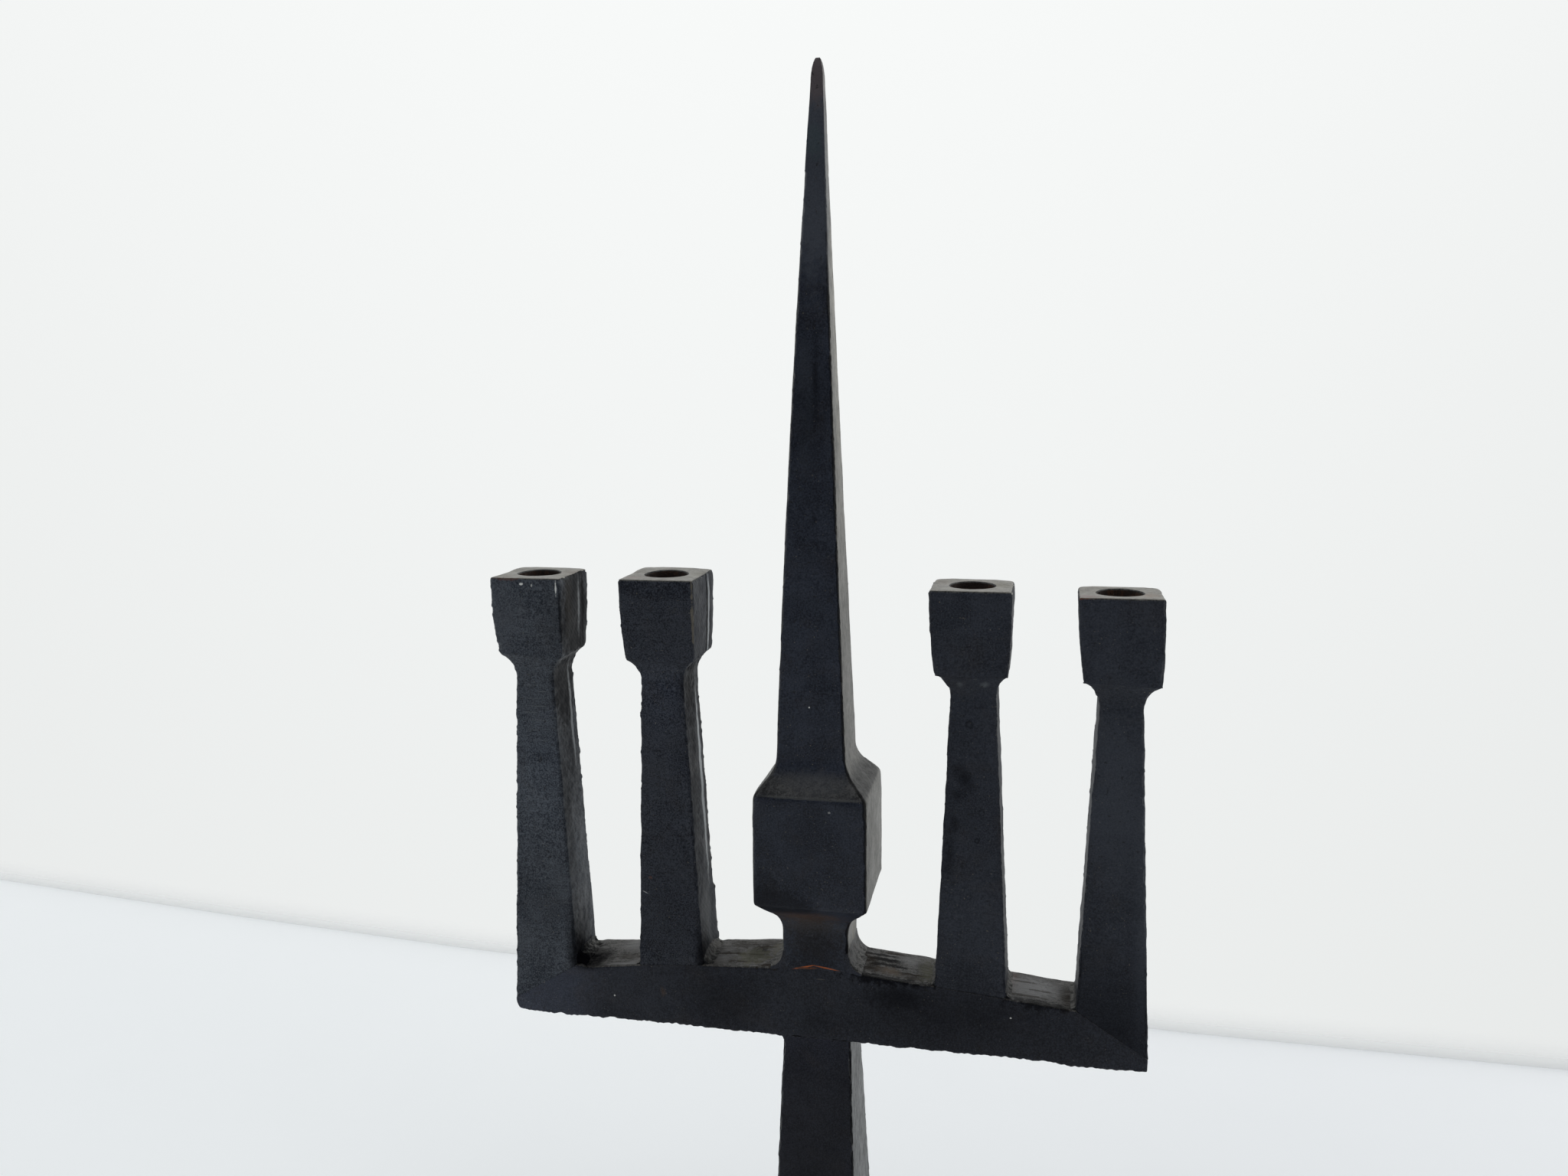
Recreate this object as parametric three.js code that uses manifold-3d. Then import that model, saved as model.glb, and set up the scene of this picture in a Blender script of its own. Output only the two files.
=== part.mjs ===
// A blackened iron candelabra: four candle posts on a crossbar, a spire above it and a stem below.
// Millimetres, +Z up, +X to the right and +Y to the back. The origin is the middle of the underside.

import * as THREE from 'three';
import { mergeVertices } from 'three/addons/utils/BufferGeometryUtils.js';
import Module from 'manifold-3d';

const wasm = await Module();
wasm.setup();

// Clearances
const weldGap = 0.3;            // root gap that a weld bridges
const holeClearance = 0.3;      // radial, round a stud or bolt
const endClearance = 1;         // beyond the end of a stud or bolt
const overshoot = 1;            // how far a cutting shape runs past the face that it opens
const mergeDistance = 1e-4;

// Base plate
const baseWidth = 170;
const baseDepth = 170;
const baseThickness = 20;
const baseTopChamfer = 4;
const baseBottomChamfer = 1;
const baseCorner = 5;

// Stem, from the base plate up to the crossbar
const stemLength = 215;
const stemTopWidth = 35.6;
const stemWidthFlare = 0.034;   // growth of each side, per mm downwards
const stemDepthFlare = 0.113;   // the same at the front and the back
const stemX = 1;
const stemEdge = 1.2;

// Crossbar, a flat bar on edge that is tallest in the middle
const barLength = 335;
const barDepth = 31;
const barPeak = 40.4;           // height where the two top slopes would meet
const barSlope = 0.089;
const barEdge = 0.6;
const barEndRadius = 4.5;
const mitreHeight = 6;          // where the mitre meets the end of the bar
const mitreOverrun = 10;        // how far its cut runs on past the end
const cornerSegments = 5;
const seatHeight = 40.4;        // flat land under the spire
const seatShoulder = 1.5;

// Candle posts
const outerPostInset = 18.8;    // from the end of the bar to the middle of the post
const innerPostPlace = 78;      // from the middle of the bar
const postHeight = 240;         // above the bar's underside
const postRootWidth = 37.7;
const postNeckWidth = 21.1;
const postNeckDepth = 28;
const postEdge = 1;
const cupHeight = 40.5;
const cupShoulderWidth = 36;
const cupMouthWidth = 39.6;
const cupShoulderDepth = 37;
const cupMouthDepth = 39;
const cupSwell = 0.5;           // how far each side of a cup stands out of true, half way up
const cupRim = 0.8;
const cupSteps = 4;
const cupFuller = 14;           // radius of the hollow under the cup
const cupChamfer = 33;          // slope of the shoulder beside it, in degrees
const fullerSteps = 4;
const socketDiameter = 22;
const socketDepth = 30;
const roundSides = 32;

// Spire, with its knob and neck
const neckX = 0.5;
const neckWidth = 34;
const knobX = 0.3;
const knobSize = 57.8;
const knobBottom = 77.5;        // heights above the bar's underside
const knobTop = 134.8;
const knobEdge = 1.4;
const knobFuller = 17;          // radius of the hollows under and over the knob
const knobChamfer = 46;         // slope of the knob's shoulders, in degrees
const spireRootWidth = 35.2;
const spireTipWidth = 6;
const spireSwell = 0.5;         // fullness of each side, half way up
const spireTipHeight = 487;
const spireTipRound = 12;
const spireTipLevels = [0.5, 0.85, 1];
const spireEndWidth = 1.7;
const spireTipEdge = 0.5;       // corner facet as a share of the half width, at the very tip
const spireEdgeGrowth = 0.33;   // the same where the rounding starts
const spireSteps = 6;
const spireRootX = -0.5;
const spireBend = 3.8;          // how far the tip leans to the right
const spireEdge = 0.9;

// Stud through the crossbar, and the bolt under the stem
const studDiameter = 16;
const studSpireDepth = 38;
const studStemDepth = 45;
const boltDiameter = 12;
const boltHeadWidth = 19;
const boltHeadHeight = 7.5;
const boltStemDepth = 30;
const washerDiameter = 24;
const washerThickness = 2.5;
const counterboreDiameter = 28;
const counterboreDepth = 11;
const shankSides = 24;
const hexagonSides = 6;

// Weld beads. A leg is the same along both faces; the spire's have a run along the bar and a rise up the neck.
const postWeldLeg = 2.5;
const lumpyWeldLeg = 5;         // the two that were left proud
const postWeldSetback = 2;
const spireLeftWeldRun = 6;
const spireLeftWeldRise = 8;
const spireRightWeldRun = 6.3;
const spireRightWeldRise = 9.5;
const stemWeldLeg = 2;
const beadHollow = 0.12;        // how full the bead's face is, as a share of the leg
const beadSteps = 4;

const crossbarHeight = baseThickness + stemLength;
const barHalf = barLength / 2;
const outerPostPlace = barHalf - outerPostInset;

// No two posts are alike. Each level's pair is a sideways shift and an extra width, then come the mouth's
// extra depth, its fall from front to back, the extra height, and the legs of the welds beside the foot.
const posts = [
  { side: 'outer_left', place: -outerPostPlace, root: [0, 0.1], neck: [0.9, -0.4], shoulder: [0.7, -0.6],
    mouth: [0.5, -0.8], depth: 1, fall: 1.1, height: 1.2, inwardsWeld: lumpyWeldLeg },
  { side: 'inner_left', place: -innerPostPlace, root: [0.7, 0.3], neck: [-0.1, 1.3], shoulder: [0.1, 0.4],
    mouth: [-0.2, -0.4], depth: 2, fall: 0.4, height: 1.7, inwardsWeld: lumpyWeldLeg,
    outwardsWeld: postWeldLeg },
  { side: 'inner_right', place: innerPostPlace, root: [1.9, 1.3], neck: [1.4, 1.1], shoulder: [0.2, -0.4],
    mouth: [-0.4, 0.2], depth: -1, fall: 0.9, height: -0.5, inwardsWeld: postWeldLeg,
    outwardsWeld: postWeldLeg },
  { side: 'outer_right', place: outerPostPlace, root: [0.3, -0.7], neck: [0.3, -0.7], shoulder: [0.2, 0],
    mouth: [-1.3, 0.2], depth: -2, fall: 1.3, height: -2.3, inwardsWeld: postWeldLeg },
].map((post) => ({
  ...post,
  root: level(post.place, post.root, postRootWidth),
  neck: level(post.place, post.neck, postNeckWidth),
  shoulder: level(post.place, post.shoulder, cupShoulderWidth),
  mouth: level(post.place, post.mouth, cupMouthWidth),
  mouthDepth: cupMouthDepth + post.depth,
  top: postHeight + post.height,
}));

function level(place, [shift, extra], width) {
  return { x: place + shift, width: width + extra };
}

const ironColour = 0x23262b;
const materials = {
  forged: new THREE.MeshStandardMaterial({ color: ironColour, roughness: 0.62, metalness: 0.55 }),
  bar: new THREE.MeshStandardMaterial({ color: 0x2a2c2e, roughness: 0.68, metalness: 0.5 }),
  weld: new THREE.MeshStandardMaterial({ color: 0x4a4c4b, roughness: 0.55, metalness: 0.6 }),
  fastener: new THREE.MeshStandardMaterial({ color: 0x8a8d90, roughness: 0.4, metalness: 0.9 }),
};

// Solids and geometry

function toSolid(geometry) {
  const shape = geometry.clone();
  shape.deleteAttribute('normal');
  shape.deleteAttribute('uv');
  const merged = mergeVertices(shape, mergeDistance);
  return new wasm.Manifold(new wasm.Mesh({
    numProp: 3,
    vertProperties: merged.attributes.position.array,
    triVerts: Uint32Array.from(merged.index.array),
  }));
}

function toGeometry(solid) {
  const mesh = solid.getMesh();
  const geometry = new THREE.BufferGeometry();
  geometry.setAttribute('position', new THREE.BufferAttribute(mesh.vertProperties, 3));
  geometry.setIndex(new THREE.BufferAttribute(mesh.triVerts, 1));
  return geometry;
}

// One section of a forged bar: a rectangle with its corners taken off, lower at the back by its fall
function sectionPoints({ x, z, halfX, halfY, edge, fall = 0 }) {
  const corners = [[halfX, halfY - edge], [halfX - edge, halfY]];
  const quarter = [...corners];
  const left = corners.map(([px, py]) => [-px, py]).reverse();
  const upper = [...quarter, ...left];
  const lower = upper.map(([px, py]) => [-px, -py]);
  const drop = (py) => fall * (0.5 + py / (2 * halfY));
  return [...upper, ...lower].map(([px, py]) => new THREE.Vector3(x + px, py, z - drop(py)));
}

// A bar forged through a row of sections, from the lowest to the highest
function forgedBar(stations) {
  const rings = stations.map(sectionPoints);
  const sides = rings[0].length;
  const index = [];
  for (let ring = 0; ring + 1 < rings.length; ring += 1) {
    for (let side = 0; side < sides; side += 1) {
      const next = (side + 1) % sides;
      const a = ring * sides + side;
      const b = ring * sides + next;
      index.push(a, b, b + sides, a, b + sides, a + sides);
    }
  }
  const last = (rings.length - 1) * sides;
  for (let side = 1; side + 1 < sides; side += 1) {
    index.push(0, side + 1, side);
    index.push(last, last + side, last + side + 1);
  }
  const geometry = new THREE.BufferGeometry().setFromPoints(rings.flat());
  geometry.setIndex(index);
  return geometry;
}

// An upright round or hexagonal bar between two heights
function uprightBar(diameter, bottom, top, sides, x = 0) {
  const geometry = new THREE.CylinderGeometry(diameter / 2, diameter / 2, top - bottom, sides);
  geometry.rotateX(Math.PI / 2);
  geometry.translate(x, 0, (top + bottom) / 2);
  return geometry;
}

// A front outline, given as x and z, that runs through from -depth/2 to depth/2 in y
function frontExtrusion(shape, depth, edge = 0) {
  const geometry = new THREE.ExtrudeGeometry(shape, {
    depth: depth - 2 * edge,
    bevelEnabled: edge > 0,
    bevelThickness: edge,
    bevelSize: edge,
    bevelOffset: -edge,
    bevelSegments: 1,
    curveSegments: cornerSegments,
  });
  geometry.rotateX(Math.PI / 2);
  geometry.translate(0, depth / 2 - edge, 0);
  return geometry;
}

function outline(points) {
  return new THREE.Shape(points.map(([x, z]) => new THREE.Vector2(x, z)));
}

// The hollow that a fuller leaves beside a straight bar, then the slope out to the full width:
// how far each point rises from the straight bar, and how far it stands out
function fullerCurve(radius, slope, overhang, steps) {
  const tilt = THREE.MathUtils.degToRad(slope);
  const limit = radius * (1 - Math.sin(tilt));
  const grown = Math.min(limit, overhang);
  const end = Math.acos(1 - grown / radius);
  const points = Array.from({ length: steps + 1 }, (_, step) => {
    const angle = (end * step) / steps;
    return { rise: radius * Math.sin(angle), grow: radius * (1 - Math.cos(angle)) };
  });
  const straight = overhang - grown;
  if (straight > 0) {
    points.push({ rise: points.at(-1).rise + straight * Math.tan(tilt), grow: overhang });
  }
  return points;
}

const mix = (a, b, share) => a + (b - a) * share;

// Crossbar

const barTopAt = (x) => barPeak - barSlope * Math.abs(x);

// The side face of a post, as x at a height above the bar's underside
function postSideAt(post, side, z) {
  const neckZ = post.top - cupHeight - postFullerRise(post);
  const width = mix(post.root.width, post.neck.width, z / neckZ);
  return mix(post.root.x, post.neck.x, z / neckZ) + (side * width) / 2;
}

function postFuller(post) {
  return fullerCurve(cupFuller, cupChamfer, (post.shoulder.width - post.neck.width) / 2, fullerSteps);
}

const postFullerRise = (post) => postFuller(post).at(-1).rise;

// Where a post's side meets the top of the crossbar
function postCorner(post, side) {
  const foot = postSideAt(post, side, 0);
  const lean = postSideAt(post, side, 1) - foot;
  const slope = barSlope * Math.sign(post.root.x);
  const z = (barPeak - slope * foot) / (1 + slope * lean);
  return { x: foot + lean * z, z };
}

const isOuter = (post) => Math.abs(post.root.x) > barHalf / 2;

// The cut along the mitre: from the inner corner of an outer post to the end of the bar, and on past it
function mitreEnd(post, beyond) {
  const out = Math.sign(post.root.x);
  const corner = postCorner(post, -out);
  const run = barHalf - Math.abs(corner.x);
  const fall = (corner.z - mitreHeight) / run;
  return { x: corner.x + out * (run + beyond), z: mitreHeight - fall * beyond, fall };
}

function crossbar() {
  const r = barEndRadius;
  const shape = new THREE.Shape();
  shape.moveTo(-barHalf + r, 0);
  shape.lineTo(barHalf - r, 0);
  shape.absarc(barHalf - r, r, r, -Math.PI / 2, 0, false);
  shape.lineTo(barHalf, barTopAt(barHalf));
  const seatHalf = neckWidth / 2;
  const landing = seatHalf + seatShoulder;
  shape.lineTo(neckX + landing, barTopAt(neckX + landing));
  shape.lineTo(neckX + seatHalf, seatHeight);
  shape.lineTo(neckX - seatHalf, seatHeight);
  shape.lineTo(neckX - landing, barTopAt(neckX - landing));
  shape.lineTo(-barHalf, barTopAt(barHalf));
  shape.lineTo(-barHalf, r);
  shape.absarc(-barHalf + r, r, r, Math.PI, 1.5 * Math.PI, false);
  let solid = toSolid(frontExtrusion(shape, barDepth, barEdge));
  for (const post of posts.filter(isOuter)) {
    const corner = postCorner(post, -Math.sign(post.root.x));
    const end = mitreEnd(post, mitreOverrun);
    const wedge = outline([[corner.x, corner.z], [end.x, end.z], [end.x, barPeak], [corner.x, barPeak]]);
    solid = solid.subtract(toSolid(frontExtrusion(wedge, 2 * barDepth)));
  }
  const hole = uprightBar(studDiameter + 2 * holeClearance, -overshoot, seatHeight + overshoot,
    shankSides, stemX);
  return toGeometry(solid.subtract(toSolid(hole)));
}

// Candle posts

function postStations(post) {
  const neckZ = post.top - cupHeight - postFullerRise(post);
  const stations = [
    { x: post.root.x, z: 0, halfX: post.root.width / 2, halfY: barDepth / 2, edge: postEdge },
    { x: post.neck.x, z: neckZ, halfX: post.neck.width / 2, halfY: postNeckDepth / 2, edge: postEdge },
  ];
  const overhang = (post.shoulder.width - post.neck.width) / 2;
  for (const { rise, grow } of postFuller(post).slice(1)) {
    const share = grow / overhang;
    stations.push({
      x: mix(post.neck.x, post.shoulder.x, share),
      z: neckZ + rise,
      halfX: post.neck.width / 2 + grow,
      halfY: mix(postNeckDepth, cupShoulderDepth, share) / 2,
      edge: postEdge,
    });
  }
  const rimShare = 1 - cupRim / cupHeight;
  for (let step = 1; step <= cupSteps; step += 1) {
    const share = (rimShare * step) / cupSteps;
    const swell = cupSwell * Math.sin(Math.PI * share);
    stations.push({
      x: mix(post.shoulder.x, post.mouth.x, share),
      z: post.top - cupHeight * (1 - share),
      halfX: mix(post.shoulder.width, post.mouth.width, share) / 2 + swell,
      halfY: mix(cupShoulderDepth, post.mouthDepth, share) / 2 + swell,
      edge: postEdge,
      fall: step < cupSteps ? 0 : post.fall,
    });
  }
  stations.push({
    x: post.mouth.x,
    z: post.top,
    halfX: post.mouth.width / 2 - cupRim,
    halfY: post.mouthDepth / 2 - cupRim,
    edge: postEdge,
    fall: post.fall,
  });
  return stations;
}

// All that lies below a post's foot: the top of the crossbar, or the mitre at its end
function footCut(post) {
  const below = -barPeak;
  if (!isOuter(post)) {
    const reach = post.root.width;
    const [near, far] = [post.root.x - reach, post.root.x + reach];
    const [nearTop, farTop] = [barTopAt(near) + weldGap, barTopAt(far) + weldGap];
    return outline([[near, below], [far, below], [far, farTop], [near, nearTop]]);
  }
  const out = Math.sign(post.root.x);
  const corner = postCorner(post, -out);
  const end = mitreEnd(post, mitreOverrun);
  const lift = weldGap * Math.hypot(1, end.fall);
  const inner = corner.x - out * post.root.width;
  const points = [[inner, below], [end.x, below], [end.x, end.z + lift], [corner.x, corner.z + lift],
    [inner, barTopAt(inner) + lift]];
  return outline(out > 0 ? points : points.reverse());
}

function candlePost(post) {
  const floor = post.top - socketDepth;
  const socket = uprightBar(socketDiameter, floor, post.top + overshoot, roundSides, post.mouth.x);
  const body = toSolid(forgedBar(postStations(post)));
  const foot = toSolid(frontExtrusion(footCut(post), 2 * barDepth));
  return toGeometry(body.subtract(foot).subtract(toSolid(socket)));
}

// Spire, knob and neck

function spireStations() {
  const neckHalf = neckWidth / 2;
  const knobHalf = knobSize / 2;
  const rootHalf = spireRootWidth / 2;
  const stations = [
    { x: neckX, z: seatHeight, halfX: neckHalf, halfY: barDepth / 2, edge: spireEdge },
  ];
  const under = knobHalf - neckHalf;
  const underCurve = fullerCurve(knobFuller, knobChamfer, under, fullerSteps);
  const underRise = underCurve.at(-1).rise;
  for (const { rise, grow } of underCurve) {
    const share = grow / under;
    stations.push({
      x: mix(neckX, knobX, share),
      z: knobBottom - underRise + rise,
      halfX: neckHalf + grow,
      halfY: mix(barDepth / 2, knobHalf, share),
      edge: mix(spireEdge, knobEdge, share),
    });
  }
  stations.push({ x: knobX, z: knobTop - knobEdge, halfX: knobHalf, halfY: knobHalf, edge: knobEdge });
  const over = knobHalf - knobEdge / 2 - rootHalf;
  const overCurve = fullerCurve(knobFuller, knobChamfer, over, fullerSteps);
  const overRise = overCurve.at(-1).rise;
  for (const { rise, grow } of overCurve.reverse()) {
    stations.push({
      x: mix(spireRootX, knobX, grow / over),
      z: knobTop + overRise - rise,
      halfX: rootHalf + grow,
      halfY: rootHalf + grow,
      edge: mix(spireEdge, knobEdge, grow / over),
    });
  }
  const rootZ = knobTop + overRise;
  const tipZ = spireTipHeight - spireTipRound;
  const bendAt = (z) => spireRootX + spireBend * ((z - rootZ) / (spireTipHeight - rootZ)) ** 2;
  for (let step = 1; step <= spireSteps; step += 1) {
    const share = step / spireSteps;
    const z = mix(rootZ, tipZ, share);
    const half = mix(rootHalf, spireTipWidth / 2, share) + spireSwell * Math.sin(Math.PI * share);
    const edge = mix(spireEdge, half * spireEdgeGrowth, share);
    stations.push({ x: bendAt(z), z, halfX: half, halfY: half, edge });
  }
  for (const level of spireTipLevels) {
    const closing = 1 - (spireEndWidth / spireTipWidth) ** 2;
    const half = (spireTipWidth / 2) * Math.sqrt(1 - closing * level ** 2);
    const z = tipZ + spireTipRound * level;
    stations.push({ x: bendAt(z), z, halfX: half, halfY: half, edge: half * spireTipEdge });
  }
  return stations;
}

function spire() {
  const top = seatHeight + studSpireDepth;
  const hole = uprightBar(studDiameter + 2 * holeClearance, seatHeight - overshoot, top, shankSides, stemX);
  return toGeometry(toSolid(forgedBar(spireStations())).subtract(toSolid(hole)));
}

function centreStud() {
  const bottom = -studStemDepth + endClearance;
  const top = seatHeight + studSpireDepth - endClearance;
  return uprightBar(studDiameter, bottom, top, shankSides, stemX);
}

// Stem and base, with heights above the underside of the base

function stem() {
  const halfXAt = (down) => stemTopWidth / 2 + stemWidthFlare * down;
  const halfYAt = (down) => barDepth / 2 + stemDepthFlare * down;
  const station = (down) => ({
    x: stemX, z: crossbarHeight - down, halfX: halfXAt(down), halfY: halfYAt(down), edge: stemEdge,
  });
  const body = toSolid(forgedBar([station(stemLength), station(0)]));
  const studHole = uprightBar(studDiameter + 2 * holeClearance, crossbarHeight - studStemDepth,
    crossbarHeight + overshoot, shankSides, stemX);
  const boltHole = uprightBar(boltDiameter + 2 * holeClearance, baseThickness - overshoot,
    baseThickness + boltStemDepth, shankSides, stemX);
  return toGeometry(body.subtract(toSolid(studHole)).subtract(toSolid(boltHole)));
}

function basePlate() {
  const station = (z, inset) => ({
    x: 0, z, halfX: baseWidth / 2 - inset, halfY: baseDepth / 2 - inset, edge: baseCorner,
  });
  const body = toSolid(forgedBar([
    station(0, baseBottomChamfer),
    station(baseBottomChamfer, 0),
    station(baseThickness - baseTopChamfer, 0),
    station(baseThickness, baseTopChamfer),
  ]));
  const hole = uprightBar(boltDiameter + 2 * holeClearance, -overshoot, baseThickness + overshoot,
    shankSides, stemX);
  const counterbore = uprightBar(counterboreDiameter, -overshoot, counterboreDepth, roundSides, stemX);
  return toGeometry(body.subtract(toSolid(hole)).subtract(toSolid(counterbore)));
}

function footBolt() {
  const seat = counterboreDepth - washerThickness;
  const headDiameter = boltHeadWidth / Math.cos(Math.PI / hexagonSides);
  const head = uprightBar(headDiameter, seat - boltHeadHeight, seat, hexagonSides, stemX);
  const top = baseThickness + boltStemDepth - endClearance;
  const shank = uprightBar(boltDiameter, seat - overshoot, top, shankSides, stemX);
  return toGeometry(toSolid(head).add(toSolid(shank)));
}

function footWasher() {
  const top = counterboreDepth;
  const ring = toSolid(uprightBar(washerDiameter, top - washerThickness, top, roundSides, stemX));
  const hole = uprightBar(boltDiameter + 2 * holeClearance, 0, top + overshoot, shankSides, stemX);
  return toGeometry(ring.subtract(toSolid(hole)));
}

// Welds: a hollow-faced bead in the corner of two faces

function bead(corner, alongFloor, alongWall, run, rise, length) {
  const start = new THREE.Vector2(corner.x, corner.z);
  const floorEnd = start.clone().addScaledVector(alongFloor, run);
  const wallEnd = start.clone().addScaledVector(alongWall, rise);
  const middle = start.clone()
    .addScaledVector(alongFloor, run * beadHollow)
    .addScaledVector(alongWall, rise * beadHollow);
  const curve = new THREE.QuadraticBezierCurve(floorEnd, middle, wallEnd).getPoints(beadSteps);
  const points = [start, ...curve];
  if (THREE.ShapeUtils.area(points) < 0) {
    points.reverse();
  }
  return frontExtrusion(new THREE.Shape(points), length);
}

function postWeld(post, side, leg) {
  const out = Math.sign(post.root.x);
  const corner = postCorner(post, side);
  const floor = new THREE.Vector2(side, -side * out * barSlope).normalize();
  const higher = postSideAt(post, side, corner.z + leg);
  const wall = new THREE.Vector2(higher - corner.x, leg).normalize();
  const x = corner.x + side * weldGap;
  const start = { x, z: barTopAt(x) + weldGap };
  return bead(start, floor, wall, leg, leg, barDepth - 2 * postWeldSetback);
}

function spireWeld(side, run, rise) {
  const x = neckX + side * (neckWidth / 2 + seatShoulder + weldGap);
  const start = { x, z: barTopAt(x) + weldGap };
  const floor = new THREE.Vector2(side, -barSlope).normalize();
  return bead(start, floor, new THREE.Vector2(0, 1), run, rise, barDepth);
}

function stemWeld(side) {
  const x = stemX + side * (stemTopWidth / 2 + weldGap);
  const wall = new THREE.Vector2(side * stemWidthFlare, -1).normalize();
  const start = { x: x + side * stemWidthFlare, z: -weldGap };
  return bead(start, new THREE.Vector2(side, 0), wall, stemWeldLeg, stemWeldLeg, barDepth);
}

// Assembly

function piece(name, geometry, material) {
  geometry.computeVertexNormals();
  const mesh = new THREE.Mesh(geometry, material);
  mesh.name = name;
  return mesh;
}

const candelabra = new THREE.Group();

candelabra.add(piece('base_plate', basePlate(), materials.forged));
candelabra.add(piece('foot_washer', footWasher(), materials.fastener));
candelabra.add(piece('foot_bolt', footBolt(), materials.fastener));
candelabra.add(piece('stem', stem(), materials.forged));

// Everything above the stem is measured from the underside of the crossbar
const head = new THREE.Group();
head.position.z = crossbarHeight;
candelabra.add(head);

head.add(piece('crossbar', crossbar(), materials.bar));
head.add(piece('centre_stud', centreStud(), materials.fastener));
head.add(piece('spire', spire(), materials.forged));
for (const post of posts) {
  head.add(piece(`candle_post_${post.side}`, candlePost(post), materials.forged));
  const inwards = -Math.sign(post.root.x);
  const innerWeld = postWeld(post, inwards, post.inwardsWeld);
  head.add(piece(`weld_${post.side}_inwards`, innerWeld, materials.weld));
  if (post.outwardsWeld) {
    const outerWeld = postWeld(post, -inwards, post.outwardsWeld);
    head.add(piece(`weld_${post.side}_outwards`, outerWeld, materials.weld));
  }
}
const leftSpireWeld = spireWeld(-1, spireLeftWeldRun, spireLeftWeldRise);
head.add(piece('weld_spire_left', leftSpireWeld, materials.weld));
const rightSpireWeld = spireWeld(1, spireRightWeldRun, spireRightWeldRise);
head.add(piece('weld_spire_right', rightSpireWeld, materials.weld));
head.add(piece('weld_stem_left', stemWeld(-1), materials.weld));

export default candelabra;
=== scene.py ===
import math

import bmesh
import bpy
from mathutils import Matrix, Vector


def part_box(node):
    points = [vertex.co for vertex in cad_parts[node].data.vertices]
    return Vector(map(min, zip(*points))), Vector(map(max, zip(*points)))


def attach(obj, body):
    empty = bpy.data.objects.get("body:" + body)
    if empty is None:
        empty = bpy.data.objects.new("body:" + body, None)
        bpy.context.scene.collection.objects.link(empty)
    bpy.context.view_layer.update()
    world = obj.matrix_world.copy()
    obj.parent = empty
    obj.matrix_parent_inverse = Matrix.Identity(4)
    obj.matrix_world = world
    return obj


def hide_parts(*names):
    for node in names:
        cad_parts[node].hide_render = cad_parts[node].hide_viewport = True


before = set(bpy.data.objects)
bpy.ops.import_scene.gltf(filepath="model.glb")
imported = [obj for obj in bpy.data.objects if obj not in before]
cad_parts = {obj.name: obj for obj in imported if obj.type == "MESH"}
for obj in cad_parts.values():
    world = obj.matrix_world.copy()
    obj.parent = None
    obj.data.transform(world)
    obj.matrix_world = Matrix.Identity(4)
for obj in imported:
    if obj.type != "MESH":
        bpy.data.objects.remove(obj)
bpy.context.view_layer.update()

# A blackened iron candelabra: posts on a crossbar, a spire above it, a stem and a base below.
# Sizes are in millimetres. Posts and spire are measured from the crossbar's underside, marks from the table.

mm = 0.001
near = 0.1 * mm                          # closer than this counts as the same place
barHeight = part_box("crossbar")[0].z      # the crossbar's underside, in metres
barZ = barHeight / mm                    # and in millimetres
bpy.ops.object.select_all(action="DESELECT")


# Camera

camera = {"place": (114.1, -597.7, 577.7), "turn": 12.33, "down": 9.92, "roll": -0.81, "lens": 28.28}


def setCamera():
    data = bpy.data.cameras.new("camera")
    data.lens = camera["lens"]
    data.sensor_width = 36
    data.clip_start = 0.01
    eye = bpy.data.objects.new("camera", data)
    bpy.context.scene.collection.objects.link(eye)
    turn = Matrix.Rotation(math.radians(camera["turn"]), 4, "Z")
    tilt = Matrix.Rotation(math.radians(90 - camera["down"]), 4, "X")
    roll = Matrix.Rotation(math.radians(camera["roll"]), 4, "Z")
    eye.matrix_world = Matrix.Translation(Vector(camera["place"]) * mm) @ turn @ tilt @ roll
    bpy.context.scene.camera = eye


setCamera()


# Modelling by hand: helpers that pick and shape

def clamp(value):
    return max(0.0, min(1.0, value))


def mix(a, b, share):
    return a + (b - a) * share


def pick(kind, test):
    bpy.ops.mesh.select_mode(type=kind)
    bpy.ops.mesh.select_all(action="DESELECT")
    mesh = bmesh.from_edit_mesh(bpy.context.edit_object.data)
    if kind == "FACE":
        mesh.normal_update()
    for part in mesh.faces if kind == "FACE" else mesh.edges:
        if test(part):
            part.select_set(True)
    bmesh.update_edit_mesh(bpy.context.edit_object.data)


def lowHigh(edge):
    return sorted((end.co for end in edge.verts), key=lambda place: place.z)


def pickEdges(test):
    pick("EDGE", lambda edge: test(*lowHigh(edge)))


def pickFaces(test):
    pick("FACE", lambda face: test(face.calc_center_median(), face.normal))


def pickOpenEdges(test):
    pick("EDGE", lambda edge: len(edge.link_faces) < 2 and test((edge.verts[0].co + edge.verts[1].co) / 2))


def extrude(x, y, z):
    bpy.ops.mesh.extrude_region_move(TRANSFORM_OT_translate={"value": (x, y, z)})


def scaleAbout(centre, x, y, z):
    bpy.ops.transform.resize(value=(x, y, z), center_override=centre)


def roundPicked(width, segments=3):
    bpy.ops.mesh.bevel(offset=width * mm, segments=segments, affect="EDGES", clamp_overlap=False)


def startPlate(name, halfX, halfY):
    bpy.ops.mesh.primitive_plane_add(size=2)
    piece = bpy.context.object
    piece.name = piece.data.name = name
    bpy.ops.object.mode_set(mode="EDIT")
    scaleAbout((0, 0, 0), halfX, halfY, 1)
    return piece


mostCells = 80      # between two stations, because one subdivide makes at most 100 cuts


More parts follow.
